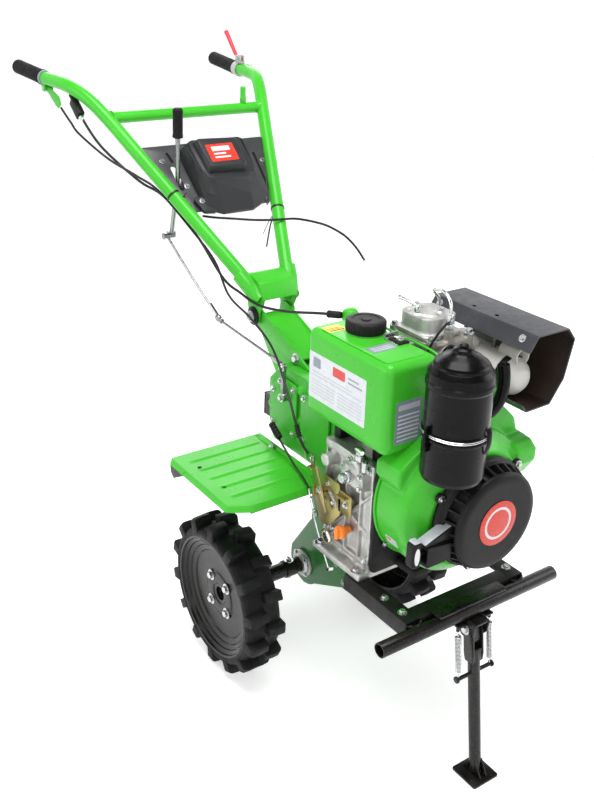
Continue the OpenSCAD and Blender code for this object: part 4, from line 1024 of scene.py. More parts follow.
bolts("governor_bolts", [((240, -150, 560), RIGHT), ((278, -150, 570), RIGHT), ((320, -150, 584), RIGHT),
                         ((252, -150, 606), RIGHT), ((190, -150, 640), RIGHT)], "chassis", 4.6, 5)
shapes = [lathe((334, -120, 666), RIGHT, rounded([(0, 0), (0, 13), (46, 13), (48, 10), (48, 0)], 1, 3), 32),
          place(hex_bolt(10, 12, False), (334, -168, 666), RIGHT),
          lathe((376, -150, 694), UP, rounded([(0, 0), (0, 7), (22, 7), (24, 5), (24, 0)], 1, 3), 24)]
piece("pump_details", *join(shapes), STEEL, "chassis")
piece("governor_spring", *coil((262, -155, 598), (300, -155, 566), 3.4, 0.8, 14, 5), STEEL, "chassis")
outline = rounded([(228, 580), (230, 600), (222, 640), (228, 641), (246, 600), (252, 588), (268, 542),
                   (258, 538)], 4, 3, closed=True)
shapes = [prism(outline, "xz", -164.5, -161.5),
          lathe((240, -158.6, 588), RIGHT, [(0, 8.4), (3, 8.4), (3, 7), (7, 7)], 28)]
piece("speed_lever_plate", *join(shapes), ZINC, "speed_lever", ("speed_lever",), bevel=0.5)
bolts("speed_lever_nut", [((240, -164.5, 588), RIGHT)], "speed_lever", 5, 4)
cap = rounded([(0, 0), (0, 9), (18, 9), (18, 14), (20, 15.5), (30, 15.5), (32, 13), (32, 0)], 1.2, 3)
shapes = [lathe((312, -130, 512), RIGHT, cap, 44),
          prism(rounded([(306.5, 497), (317.5, 497), (317.5, 527), (306.5, 527)], 4, 3, closed=True), "xz",
                -169, -160)]
piece("oil_dipstick_cap", *join(shapes), ORANGE, "chassis", ("oil_plug",), bevel=0.8)

# fan shroud: drum, cone, flange and the duct up to the cylinder, pressed in one piece
neck = [(-60, 600), (-142, 700), (-142, 735), (-60, 790), (20, 866), (118, 866), (126, 826), (146, 810),
        (178, 780), (190, 745), (195, 700), (150, 600)]
shapes = [lathe((406, CRANK_Y, CRANK_Z), FRONT,
                [(0, 168), (78, 168), (92, 165), (101, 156), (112, 146), (120, 137), (127, 130), (127, 118),
                 (90, 118), (90, 150), (4, 150), (4, 60), (0, 60)], 128, closed=True)]
shapes.append(prism(rounded(neck, 16, 4, closed=True), "yz", 406, 478))
lug_flange = rounded([(-146, 700), (-146, 738), (-118, 744), (-100, 700)], 10, 4, closed=True)
shapes.append(prism(lug_flange, "yz", 405, 412))
side = [(406, 640), (505, 655), (530, 695), (530, 724), (510, 740), (406, 748)]
shapes.append(prism(side, "xz", 140, 200))
cast("fan_shroud_pressing", shapes, GREEN, "chassis", ("fan_shroud",), 3.4, 7, 60)
lip = rounded([(0, 167), (0, 171.5), (3, 173), (6, 171.5), (6, 167)], 1.5, 3, closed=True)
piece("fan_shroud_rim", *lathe((404.5, CRANK_Y, CRANK_Z), FRONT, lip, 128, closed=True), GREEN, "chassis")
# painted shade: a dark cup inside the mouth of the shroud, behind the starter
piece("fan_shroud_shade", *lathe((530, CRANK_Y, CRANK_Z), BACK,
                                  [(0, 119), (2, 119), (30, 119), (32, 119), (33, 0)], 96), PAINTED_SHADE, "chassis")
bolts("shroud_bolts", [((412, -128, 716), FRONT), ((410.5, -108, 520), FRONT), ((410.5, 150, 508), FRONT)],
      "chassis", 5, 4.5)

# recoil starter
back = rounded([(0, 117), (0, 124), (14, 124), (18, 120), (25, 119), (25, 113)], 2, 3, closed=True)
RECOIL_X, EAR_R, EAR_ANGLES = 537, 131, (40, 150, 265)
centre = (RECOIL_X, CRANK_Y, CRANK_Z)
parts = [lathe(centre, FRONT, back, 128, closed=True)]
starter_face = [(50, 100), (50, 110), (54, 109.6), (58, 107), (61, 102.5), (62.6, 96), (62.8, 90),
                (61.6, 60), (61, 30), (61, 0)]
parts.append(lathe(centre, FRONT, [(52, 0)] + starter_face, 128))
vane, vanes = prism([(559, 104), (559, 119), (566, 117.6), (588, 110.5), (588, 102)], "xz", -2.6, 2.6), 30
parts += [around_crank(vane, 2 * math.pi * k / vanes) for k in range(vanes)]
piece("recoil_cover", *join(parts), PLASTIC, "chassis", ("recoil_housing",), angle=32)
# painted shade: a dark lining inside the starter cover, behind and between its vanes
piece("recoil_shade", *lathe(centre, FRONT, [(2, 112), (20, 103), (52, 98), (52, 0)], 96), PAINTED_SHADE, "chassis")
ear_places = circle(CRANK_Y, CRANK_Z, EAR_R, EAR_ANGLES)
ear_profile = rounded([(0, 0), (0, 11), (8, 11), (9, 9), (9, 0)], 1, 3)
ears = [lathe((RECOIL_X, y, z), FRONT, ear_profile, 28) for y, z in ear_places]
piece("recoil_ears", *join(ears), PLASTIC, "chassis")
bolts("recoil_bolts", [((RECOIL_X + 9, y, z), FRONT) for y, z in ear_places], "chassis", 5, 4.5)
piece("recoil_badge_ring", *lathe(centre, FRONT,
                                  [(61.8, 51), (62.9, 51), (63.1, 50.4), (63.1, 37), (61.8, 37)], 96,
                                  closed=True), LABEL_RED, "chassis", slot="red_plastic")
piece("recoil_badge_band", *lathe(centre, FRONT, [(61.5, 37), (62.95, 37), (62.95, 31), (61.5, 31)], 96,
                                  closed=True), LABEL_WHITE, "chassis")
piece("recoil_badge_centre", *lathe(centre, FRONT, [(60.9, 31), (63.1, 31), (63.2, 30.4), (63.2, 0)], 96),
      LABEL_RED, "chassis", slot="red_plastic")
mouth = [block((541, -144, 568), (556, -70, 614)), block((541, -144, 606), (581, -80, 614)),
         block((541, -144, 568), (581, -80, 576)), block((578, -144, 568), (581, -80, 614))]
piece("recoil_rope_guide", *join(mouth), PLASTIC, "chassis", bevel=1.6)
piece("rope_guide_hump", *prism([(-146, 613), (-70, 613), (-70, 646), (-146, 618)], "yz", 546, 577),
      PLASTIC, "chassis", bevel=2)
# painted highlight: a light grey strip along the top of the black plastic rope guide
piece("rope_guide_top_highlight", *prism([(-147, 617.6), (-72, 645.2), (-72, 648.4), (-147, 620.8)], "yz", 549, 574),
      LABEL_LINE, "chassis", slot="black_plastic", bevel=1.2)
grip = rounded([(-176, 569), (-153, 569), (-153, 628), (-176, 628)], [9, 6, 6, 9], 6, closed=True)
piece("starter_grip_body", *prism(grip, "yz", 549, 573), PLASTIC, "starter_grip", ("pull_handle",), bevel=5,
      steps=4)
# painted highlight: a light grey strip along the top of the black plastic grip
piece("starter_grip_top_highlight", *prism([(-172, 627.2), (-155.5, 627.2), (-156.5, 630.4), (-168, 630.4)], "yz",
                                 551, 571), LABEL_LINE, "starter_grip", slot="black_plastic", bevel=1.2)
oval = [(11 * math.cos(t), 20 * math.sin(t)) for t in (2 * math.pi * k / 40 for k in range(40))]
piece("starter_grip_plate", *prism([(-165 + a * 0.62, 598 + b) for a, b in oval], "yz", 572.6, 573.6),
      STEEL, "starter_grip")
rope = tube([(561, -154, 592), (561, -100, 592), (561, -62, 592)], 2.4, 12, smooth=False)
piece("starter_rope", *rope, SEAL, "starter_grip")

# engine underside
shapes = [block((330, -96, 446), (396, 120, 462)), block((404, -70, 448), (470, -20, 466)),
          block((404, 70, 448), (470, 118, 466))]
piece("engine_feet", *join(shapes), SEAL, "chassis", bevel=3)

# fuel tank: two deep pressings joined by a seam
CAP_X, CAP_Y = 268, -80
piece("tank_shell", *block((171, -161, 757), (447, -27, 957)), GREEN, "chassis", ("fuel_tank",), bevel=19,
      steps=7, angle=60)
seam_pts = [(178, -29, 952), (200, -28, 957.5), (300, -28, 957.8), (418, -28, 957), (438, -28.5, 948),
            (443, -29, 925), (444, -29, 800)]
piece("tank_seam", *tube(seam_pts, 2.6, 12), GREEN, "chassis")
panel = rounded([(196, -150), (428, -150), (428, -46), (196, -46)], 14, 5, closed=True)
piece("tank_top_panel", *prism(panel, "xy", 955.5, 958.4), GREEN, "chassis", bevel=1.3, steps=3)
neck = rounded([(0, 20), (0, 46), (1.5, 46), (3, 41), (6, 40), (6, 20)], 1, 3, closed=True)
piece("tank_neck", *lathe((CAP_X, CAP_Y, 957), UP, neck, 60, closed=True), GREEN, "chassis")
shapes = [block((228, -120, 708), (250, -60, 758)), block((362, -120, 708), (384, -60, 758))]
piece("tank_brackets", *join(shapes), FRAME_BLACK, "chassis", bevel=1.2)
# fuel cap: knurled wall, stepped crown
segs = 240
prof = [(0, 39.0), (1.5, 42.2), (6, 43.4), (22, 43.4), (24.5, 42.4), (26.5, 39.5), (27.2, 34), (27.2, 30),
        (25.8, 28.5), (25.8, 12), (27.6, 10.6), (27.6, 0)]
cap_verts, cap_faces = lathe((CAP_X, CAP_Y, 961), UP, prof, segs)
o = P(CAP_X, CAP_Y, 0)
for i in range(len(cap_verts)):
    row, k = divmod(i, segs)
    if 2 <= row <= 4:
        d = Vector((cap_verts[i].x - o.x, cap_verts[i].y - o.y, 0))
        wave = 1 - 0.026 * max(0.0, math.cos(2 * math.pi * 40 * k / segs))
        cap_verts[i] = Vector((o.x + d.x * wave, o.y + d.y * wave, cap_verts[i].z))
piece("fuel_cap_shell", cap_verts, cap_faces, PLASTIC, "fuel_cap", ("fuel_cap",), angle=30)
clip = [block((322, -74, 957.8), (362, -38, 960.4)), block((322, -74, 960), (325.5, -38, 972)),
        block((338, -62, 960), (360, -44, 968))]
piece("tank_clip", *join(clip), STEEL, "chassis", bevel=0.8)
piece("tank_clip_pad", *block((330, -70, 958), (366, -42, 963)), SEAL, "chassis", bevel=1.6)


def label(name, corner, across, up, width, height, blocks, ground=LABEL_WHITE, body="chassis", lift=0.5):
    """Plain panel on a flat face: corner, two unit directions, size and coloured bars with no lettering."""
    corner, across, up = Vector(corner), Vector(across), Vector(up)
    out = across.cross(up)

    def patch(u0, u1, v0, v1, h):
        q = rounded([(u0, v0), (u1, v0), (u1, v1), (u0, v1)], min(2.5, 0.3 * min(u1 - u0, v1 - v0)), 3,
                    closed=True)
        pts = [corner + across * u + up * v for u, v in q]
        return solid([P(*(p + out * d)) for d in (-0.6, h) for p in pts], len(pts))

    piece(name, *patch(0, width, 0, height, lift), ground, body)
    for k, (u0, u1, v0, v1, mat) in enumerate(blocks):
        piece("%s_%d" % (name, k), *patch(u0, u1, v0, v1, lift + 0.25), mat, body, slot=None)


# near side of the tank: white data panel with rows of plain bars
rows = [(8, 92, 12 + 7.5 * k, 14.2 + 7.5 * k, LABEL_LINE)
        for k in range(5)] + [(102, 186, 12 + 7.5 * k, 14.2 + 7.5 * k, LABEL_LINE) for k in range(5)]
rows += [(8, 186, 54, 56.4, LABEL_LINE), (8, 150, 62, 64.4, LABEL_LINE), (84, 126, 76, 97, LABEL_RED),
         (136, 184, 78, 81, LABEL_GREY), (136, 172, 88, 91, LABEL_GREY), (14, 40, 74, 96, LABEL_GREY)]
label("tank_data_panel", (184, -161, 800), FRONT, UP, 196, 106, rows)
label("tank_front_panel", (447, -137, 782), LEFT, UP, 68, 96,
      [(6, 62, 76, 88, LABEL_LINE)] + [(6, 62, 8 + 9 * k, 11 + 9 * k, LABEL_WHITE) for k in range(7)],
      LABEL_GREY)
label("shroud_panel", (432, -119.0, 542.5), FRONT, (0, -0.438, 0.899), 34, 24,
      [(3, 31, 4, 6.5, LABEL_LINE), (3, 31, 9, 11.5, LABEL_LINE), (3, 18, 14.5, 20, LABEL_RED)])
label("tank_top_grey", (372, -140, 958.4), LEFT, BACK, 62, 30,
      [(5, 57, 5 + 7 * k, 7 + 7 * k, LABEL_WHITE) for k in range(3)], LABEL_GREY)
label("tank_top_yellow", (236, -148, 958.4), LEFT, BACK, 44, 34,
      [(4, 40, 4, 8, PLASTIC), (4, 40, 12, 14, PLASTIC), (4, 40, 18, 20, PLASTIC)], LABEL_YELLOW)

# air filter
FILTER_X, FILTER_Y = 554, -76


def filter_ring(name, prof, replaces=(), radii=2.0):
    """One turned part of the air filter; prof holds (height, radius) pairs."""
    return piece(name, *lathe((FILTER_X, FILTER_Y, 0), UP, rounded(prof, radii, 4), 96), FILTER_BLACK,
                 "chassis", replaces, angle=30)


filter_ring("air_filter_bowl_shell",
            [(747, 0), (747, 52), (751, 61), (760, 64), (838, 64), (841, 67.5), (847, 67.5), (847, 0)],
            ("air_filter_bowl",))
filter_ring("air_filter_can_shell",
            [(849, 0), (849, 67.8), (857, 67.8), (860, 64.5), (944, 64.5), (948, 67.2), (956, 67.2),
             (960, 65.5), (975, 64.5), (980, 60), (985, 56), (985, 0)], ("air_filter_can",))
filter_ring("air_filter_hood", [(983, 0), (983, 55), (987, 55.4), (990, 54), (994, 51), (1004, 38),
                                (1009, 27), (1013, 22), (1019, 19), (1022, 13), (1022, 0)])
filter_ring("air_filter_nut", [(1020, 0), (1020, 9), (1027, 9), (1029, 6), (1029, 0)], radii=0.8)
wire = [tube([(FILTER_X + 68.0 * math.cos(math.radians(a)), FILTER_Y + 68.0 * math.sin(math.radians(a)),
               rise + 0.8 * math.sin(math.radians(3 * a))) for a in range(-170, 91, 6)], 1.1, 10)
        for rise in (851.2, 854.6)]
piece("air_filter_bail", *join(wire), CHROME, "chassis")
for a in (-95, 20, 140):
    t = math.radians(a)
    u, v = (math.cos(t), math.sin(t)), (-math.sin(t), math.cos(t))
    def q(r, s, z):
        return (FILTER_X + u[0] * r + v[0] * s, FILTER_Y + u[1] * r + v[1] * s, z)
    piece("air_filter_clip_%d" % a if a >= 0 else "air_filter_clip_front",
          *tube([q(65.5, 0, 818), q(70.2, 0, 832), q(71.6, 0, 848), q(70.4, 0, 864), q(66, 0, 872)], 3.0,
                10, flat=lambda s: (2.2, 0.5)), FILTER_BLACK, "chassis")
elbow = [tube([(425, INTAKE_Y, PORT_Z), (440, 20, 929), (458, 4, 927), (478, -14, 922), (500, -32, 916),
               (516, -44, 912)], 18.6, 36),
         lathe((413, INTAKE_Y, PORT_Z), FRONT, disc(27, 8, 0, 1.5, 3), 48),
         lathe((419, INTAKE_Y, PORT_Z), FRONT,
               rounded([(0, 0), (0, 24), (22, 24), (24, 19), (24, 0)], 2, 3), 48),
         tube([(496, -28, 917), (503, -34, 915)], 20.6, 36, smooth=False)]
piece("intake_pipe", *join(elbow), FILTER_BLACK, "chassis", ("intake_elbow",))
bracket = [block((500, -44, 812), (503, -4, 852)), block((478, -30, 812), (503, -26, 842)),
           prism([(470, 800), (503, 800), (503, 812), (470, 812)], "xz", -40, -8)]
piece("air_filter_bracket", *join(bracket), FRAME_BLACK, "chassis", bevel=1)

# muffler and its shield
MUFFLER_Y, MUFFLER_Z, MUFFLER_R = 169, 873, 45
shell = rounded([(290, 14), (290, MUFFLER_R - 5), (294, MUFFLER_R - 1), (316, MUFFLER_R), (446, MUFFLER_R),
                 (462, MUFFLER_R - 1.5), (479, 36), (491, 23), (496.5, 0)], [0, 3, 3, 6, 10, 12, 14, 14, 0],
                5)
piece("muffler_shell", *lathe((0, MUFFLER_Y, MUFFLER_Z), FRONT, [(290, 0)] + shell, 96), HEAT, "chassis",
      ("muffler",), angle=30)
seams = []
for x in (296, 434):
    seams.append(lathe((0, MUFFLER_Y, MUFFLER_Z), FRONT,
                       rounded([(x, MUFFLER_R - 0.5), (x, MUFFLER_R + 1.6), (x + 4, MUFFLER_R + 1.6),
                                (x + 4, MUFFLER_R - 0.5)], 1, 2, closed=True), 96, closed=True))
seams.append(lathe((EXHAUST_X, 121.2, PORT_Z), LEFT, disc(26, 6, 0, 1, 2), 40))
seams.append(tube([(EXHAUST_X, 124, PORT_Z), (EXHAUST_X, 138, 928), (EXHAUST_X, 150, 918),
                   (EXHAUST_X, 158, 900)], 16.5, 32, step=3))
piece("muffler_seams", *join(seams), HEAT, "chassis")
strap = rounded([(450, MUFFLER_R - 3), (450, MUFFLER_R + 1.8), (464, MUFFLER_R + 0.6),
                 (464, MUFFLER_R - 4)], 0.8, 2, closed=True)
piece("muffler_band", *lathe((0, MUFFLER_Y, MUFFLER_Z), FRONT, strap, 96, closed=True), FRAME_BLACK,
      "chassis")
pipe = tube([(424, MUFFLER_Y + 8, 920), (450, MUFFLER_Y + 8, 920), (478, MUFFLER_Y + 8, 920)], 19, 40,
            smooth=False, inner=16.5)
piece("muffler_tail", *join([pipe, lathe((430, MUFFLER_Y + 8, 920), FRONT, plug(17, 2), 32)]), HEAT,
      "chassis")
outer = [(131, 957.5), (152, 990), (242, 990), (266, 962), (249, 876), (214, 824), (143, 822), (130, 838)]
inner = [(132.5, 839.5), (144.5, 825), (213, 827), (246.5, 877), (263, 961), (241, 987), (154, 987),
         (133.5, 955.5)]
ring = rounded(outer, [1, 5, 5, 6, 6, 6, 5, 1], 4) + rounded(inner, [1, 3, 3, 3, 3, 3, 3, 1], 4)
piece("shield_shell", *prism(ring, "yz", 226, 534), SHIELD, "chassis", ("muffler_shield",), angle=30)
off = rounded(inner, [1, 3, 3, 3, 3, 3, 3, 1], 4)


def towards_axis(pts, d):
    """The outline moved towards the middle of the shield; 60 would bring it there."""
    return [(a + (190 - a) * d / 60, b + (905 - b) * d / 60) for a, b in pts]


piece("shield_liner", *prism(towards_axis(off, 0.3) + towards_axis(off, 0.9)[::-1], "yz", 228, 532), RUST,
      "chassis")
posts = [lathe((x, MUFFLER_Y, MUFFLER_Z + MUFFLER_R - 3), UP, plug(5, 75), 20) for x in (330, 400)]
posts += [lathe((498, 143, 975), (0.0, 0.85, -0.53), plug(5, 9), 20)]
piece("shield_posts", *join(posts), ROD, "chassis")
bolts("shield_bolts", [((500, 143.4, 976.4), (0, -0.85, 0.53)), ((250, 143.4, 976.4), (0, -0.85, 0.53))],
      "chassis", 5, 4.5)
hose = tube([(500, 96, 929), (504, 98, 905), (506, 96, 872), (503, 88, 842), (494, 74, 822)], 13, 28,
            step=3)
piece("breather_hose", *hose, FILTER_BLACK, "chassis")
piece("muffler_brace", *tube([(404, 104, 800), (430, 120, 812), (452, 146, 826)], 4, 10,
                             flat=lambda t: (3, 0.6)), FRAME_BLACK, "chassis")

# ---------------------------------------------------------------- handle: seat, head, tubes, grips
SEAT_HALF, CHEEK_HALF = 41, 49
seat = rounded([(-238, 824), (-230, 858), (-206, 862), (-20, 790), (30, 765), (-55, 765), (-105, 715),
                (-105, 690), (-196, 800)], [10, 8, 14, 20, 4, 6, 10, 4, 16], 4, closed=True)
shapes = [prism(seat, "xz", s * SEAT_HALF - 2.6, s * SEAT_HALF + 2.6) for s in (-1, 1)]
shapes += [prism([(-190, 846), (-186, 852), (-20, 784), (-20, 779)], "xz", -39, 39),
           prism([(-105, 700), (-105, 708), (-178, 790), (-182, 786)], "xz", -39, 39)]
piece("handle_seat_plates", *join(shapes), GREEN, "chassis", ("handle_seat",), bevel=1.1, steps=3, angle=32)
bolts("seat_bolts", [((-36, -43.6, 781), RIGHT), ((-36, 43.6, 781), LEFT)], "chassis", 8, 7)
PIVOT_X, PIVOT_Z = -216, 837
cheek = rounded([(-238, 822), (-216, 812), (-194, 824), (-190, 850), (-172, 884), (-196, 926), (-262, 930),
                 (-250, 880)], [14, 12, 10, 20, 8, 10, 8, 20], 4, closed=True)
shapes = [prism(cheek, "xz", s * CHEEK_HALF - 2.7, s * CHEEK_HALF + 2.7) for s in (-1, 1)]
piece("handle_head_cheeks", *join(shapes), GREEN, "handlebar", ("handle_head",), bevel=1.1, steps=3,
      angle=32)
cap_line = rounded([(-266, 934), (-240, 942), (-190, 930), (-171, 889)], [0, 14, 18, 0], 6)
top = cap_line + [(-177, 888)] + rounded([(-177, 888), (-194, 924), (-240, 936.5), (-266, 929)],
                                         [0, 14, 12, 0], 6)[1:]
piece("handle_head_cap", *prism(top, "xz", -52, 52), GREEN, "handlebar", bevel=1.4, steps=3, angle=32)
rosettes = []
for s in (-1, 1):
    wheel_profile = rounded([(0, 0), (0, 24), (5, 24), (6, 20), (9, 19), (9, 0)], 0.8, 2)
    rosettes.append(lathe((PIVOT_X, s * 51, PIVOT_Z), (0, s, 0), wheel_profile, 60))
piece("handle_rosettes", *join(rosettes), FRAME_BLACK, "handlebar", bevel=0.5)
bolts("handle_pivot_bolts", [((PIVOT_X, s * 60, PIVOT_Z), (0, s, 0)) for s in (-1, 1)], "handlebar", 8.5, 8)

FOOT, CROSS = (-196, 44, 890), (-633, 236, 1277)
BEND = [FOOT, (-633, 236, 1277), (-690, 262, 1320), (-745, 284, 1343), (-800, 293, 1350), (-888, 302, 1353),
        (-1034, 313.5, 1365.5)]


def mirrored(points, side):
    """The points, with their Y multiplied by side."""
    return [(x, side * y, z) for x, y, z in points]


tubes = []
for s in (-1, 1):
    fine = smooth_path([FOOT, (-300, 89.7, 982), (-420, 142.4, 1088), (-540, 195, 1194.5)] + BEND[1:], 8)
    tubes.append(tube(mirrored(fine, s), 17, 40, smooth=False))
    tubes.append(tube([(-190, s * 44, 884), (-205, s * 50, 893), (-228, s * 62, 916), (-252, s * 72, 938)],
                      21.5, 24, flat=lambda t: (1.0, 0.88)))
piece("handle_tubes_bent", *join(tubes), GREEN, "handlebar", ("handle_tubes",), angle=40)
cross = [lathe((CROSS[0], -236, CROSS[2]), LEFT, bar(14.6, 472), 40)]
cross += [tube([(CROSS[0], s * 206, CROSS[2]), (CROSS[0], s * 224, CROSS[2])], lambda t: 15 + 3.2 * t * t,
               32, step=2) for s in (-1, 1)]
piece("handle_crossbar", *join(cross), GREEN, "handlebar", ("crossbar",))
post = rounded([(0, 0), (0, 8.6), (16, 8.6), (17, 7.4), (44, 7.4), (46, 5), (46, 0)], 0.8, 2)
piece("handle_post", *lathe((CROSS[0], 172, CROSS[2] + 12), UP, post, 28), GREEN, "handlebar")
grips = []
for s in (-1, 1):
    start, end = Vector((-886, s * 301.9, 1353)), Vector((-1039.9, s * 313.9, 1366.0))
    line = (end - start)
    length = line.length
    profile = [(0, 16.8), (0, 20.2), (2.5, 20.8), (5, 20.2), (7, 19.0)]
    for k in range(26):
        a = 10 + k * 5.4
        profile += [(a, 19.0), (a + 0.7, 18.3), (a + 1.6, 18.3), (a + 2.3, 19.0)]
    profile += [(length - 3, 19.2), (length, 17.5), (length + 0.5, 0)]
    grips.append(lathe(start, line, profile, 64))
piece("handle_grips", *join(grips), GRIP, "handlebar", ("grips",), angle=30)
collars = []
for s in (-1, 1):
    at = Vector((-874, s * 300.9, 1352.4))
    collars.append(lathe(at, (-1, s * 0.08, 0.05), disc(19.4, 9, 17, 0.8, 2, closed=True), 48, closed=True))
piece("grip_collars", *join(collars), LABEL_GREY, "handlebar")

# control plate and moulded cover, drawn in the slope of the handle
SLOPE = math.radians(41.5)
BASE = Vector((-230, 0, 920))


def on_slope(shape):
    """Moves a flat-drawn shape to the slope of the handle: -x runs up the handle, z is the height above."""
    return tilted(shape, BASE, SLOPE)


def half_width(s):
    """Half width of the control plate at s millimetres up the handle."""
    return 50 + 0.3457 * s - 16


plate = rounded([(-224, -half_width(224)), (-436, -half_width(436)), (-436, half_width(436)),
                 (-224, half_width(224))], 5, 3, closed=True)
plate_obj = piece("control_plate_sheet", *on_slope(prism(plate, "xy", 0, 3)), PLATE, "handlebar",
                  ("control_plate",), bevel=0.7)


def cut(obj, shapes):
    """Cuts the shapes out of a flat piece."""
    mesh = bpy.data.meshes.new("cutter")
    v, f = join(shapes)
    mesh.from_pydata([tuple(p) for p in v], [], f)
    cutter = bpy.data.objects.new("cutter", mesh)
    bpy.context.scene.collection.objects.link(cutter)
    tidy_mesh(mesh)
    m = obj.modifiers.new("cut", "BOOLEAN")
    m.object = cutter
    m.solver = "EXACT"
    apply_modifiers(obj)
    bpy.data.objects.remove(cutter)
    bpy.data.meshes.remove(mesh)
    shade(obj.data, 32)


def slot_shape(x0, y0, x1, y1, w):
    """Long round-ended hole between two points of the plate."""
    a, b = Vector((x0, y0)), Vector((x1, y1))
    d = (b - a).normalized()
    n = Vector((-d.y, d.x))
    pts = []
    base = math.atan2(n.y, n.x)
    for k in range(13):
        t = base + math.pi * k / 12
        pts.append((a.x + w * math.cos(t), a.y + w * math.sin(t)))
    for k in range(13):
        t = base + math.pi + math.pi * k / 12
        pts.append((b.x + w * math.cos(t), b.y + w * math.sin(t)))
    return on_slope(prism(pts, "xy", -4, 8))


cut(plate_obj, [slot_shape(-362, -120, -300, -120, 8), slot_shape(-408, -119, -384, -115, 4.5),
                slot_shape(-384, 133, -272, 127, 4)])
rim = [prism([(-226, -half_width(226) + 1), (-434, -half_width(434) + 1), (-434, -half_width(434) + 4),
              (-226, -half_width(226) + 4)], "xy", -14, 1),
       prism([(-226, half_width(226) - 4), (-434, half_width(434) - 4), (-434, half_width(434) - 1),
              (-226, half_width(226) - 1)], "xy", -14, 1),
       prism([(-436, -half_width(436)), (-433, -half_width(436)), (-433, half_width(436)),
              (-436, half_width(436))], "xy", -12, 1)]
piece("control_plate_flanges", *on_slope(join(rim)), PLATE, "handlebar", bevel=0.6)
backing = [prism([(-416, -127), (-376, -127), (-376, -107), (-416, -107)], "xy", -2.4, -0.4),
           prism([(-392, 121), (-264, 121), (-264, 141), (-392, 141)], "xy", -2.4, -0.4)]
piece("plate_slot_backing", *on_slope(join(backing)), SEAL, "handlebar")
fork = [prism([(-328, y), (-304, y), (-304, y + 4.5), (-328, y + 4.5)], "xy", -34, 1)
        for y in (-139, -109.5)]
piece("shift_fork", *on_slope(join(fork)), PLATE, "handlebar", bevel=0.6)
spots = [(-387, -142), (-304, -106), (-359, 150), (-240, 100)]
c, s = math.cos(SLOPE), math.sin(SLOPE)
normal = (s, 0, c)
bolts("plate_bolts", [((BASE.x + a * c + 3 * s, b, BASE.z - a * s + 3 * c), normal) for a, b in spots],
      "handlebar", 4.6, 4)
bolts("cover_bolt", [((BASE.x - 246 * c + 15 * s, -90, BASE.z + 246 * s + 15 * c), normal)], "handlebar",
      4.6, 4)


def loft(outlines):
    """Skin over stacked closed outlines, capped at both ends; each is (list of 2-D points, height)."""
    return solid([P(x, y, z) for pts, z in outlines for x, y in pts], len(outlines[0][0]))


def outline_between(a, b, t, r):
    """Outline a share t of the way from a to b, with rounded corners."""
    return rounded([(p[0] + (q[0] - p[0]) * t, p[1] + (q[1] - p[1]) * t) for p, q in zip(a, b)], r, 6,
                   closed=True)


low = [(-206, -40), (-206, 50), (-228, 98), (-300, 106), (-415, 92), (-415, -90), (-290, -88), (-226, -84)]
high = [(-284, -50), (-283, 44), (-296, 72), (-316, 80), (-402, 82), (-404, -84), (-310, -78), (-290, -66)]
layers = [(outline_between(low, low, 0, 9), 3), (outline_between(low, low, 0, 9), 12),
          (outline_between(low, high, 0.05, 10), 14.5), (outline_between(low, high, 0.10, 11), 17),
          (outline_between(low, high, 0.45, 13), 33), (outline_between(low, high, 0.82, 15), 49),
          (outline_between(low, high, 0.95, 16), 55), (outline_between(low, high, 1.06, 16), 57.6),
          (outline_between(low, high, 1.2, 14), 58)]
piece("control_cover_moulding", *on_slope(loft(layers)), CHARCOAL, "handlebar", ("control_cover",),
      angle=34)
crown = [(-298, -67), (-293, 48), (-392, 55), (-399, -72)]
crown_top = [(-303, -62), (-299, 43), (-386, 49), (-392, -66)]
layers = [(outline_between(crown, crown, 0, 8), 52), (outline_between(crown, crown_top, 0.3, 9), 66),
          (outline_between(crown, crown_top, 0.75, 10), 75),
          (outline_between(crown, crown_top, 1.2, 11), 77.6),
          (outline_between(crown, crown_top, 1.7, 10), 78)]
piece("control_cover_crown", *on_slope(loft(layers)), CHARCOAL, "handlebar", angle=34)
tab = rounded([(-262, -112), (-214, -96), (-210, -60), (-262, -72)], [10, 10, 4, 4], 5, closed=True)
piece("control_cover_tab", *on_slope(prism(tab, "xy", 3, 15)), CHARCOAL, "handlebar", bevel=3, steps=4)


def slope_panel(name, corner, size, parts, height=78.0):
    """Red panel with plain bars on the crown of the control cover."""
    a, b = corner
    w, h = size
    box2 = rounded([(a, b), (a + w, b), (a + w, b + h), (a, b + h)], 3, 3, closed=True)
    piece(name, *on_slope(prism(box2, "xy", height - 0.8, height + 0.35)), LABEL_RED, "handlebar",
          slot="red_plastic")
    for k, (x0, x1, y0, y1, mat) in enumerate(parts):
        q = rounded([(a + x0, b + y0), (a + x1, b + y0), (a + x1, b + y1), (a + x0, b + y1)], 1, 3,
                    closed=True)
        piece("%s_%d" % (name, k), *on_slope(prism(q, "xy", height, height + 0.55)), mat, "handlebar",
              slot=None)


slope_panel("cover_panel", (-370, -52), (54, 80),
            [(8, 22, 14, 66, LABEL_WHITE), (28, 33, 14, 50, LABEL_WHITE), (39, 44, 14, 60, LABEL_WHITE)])

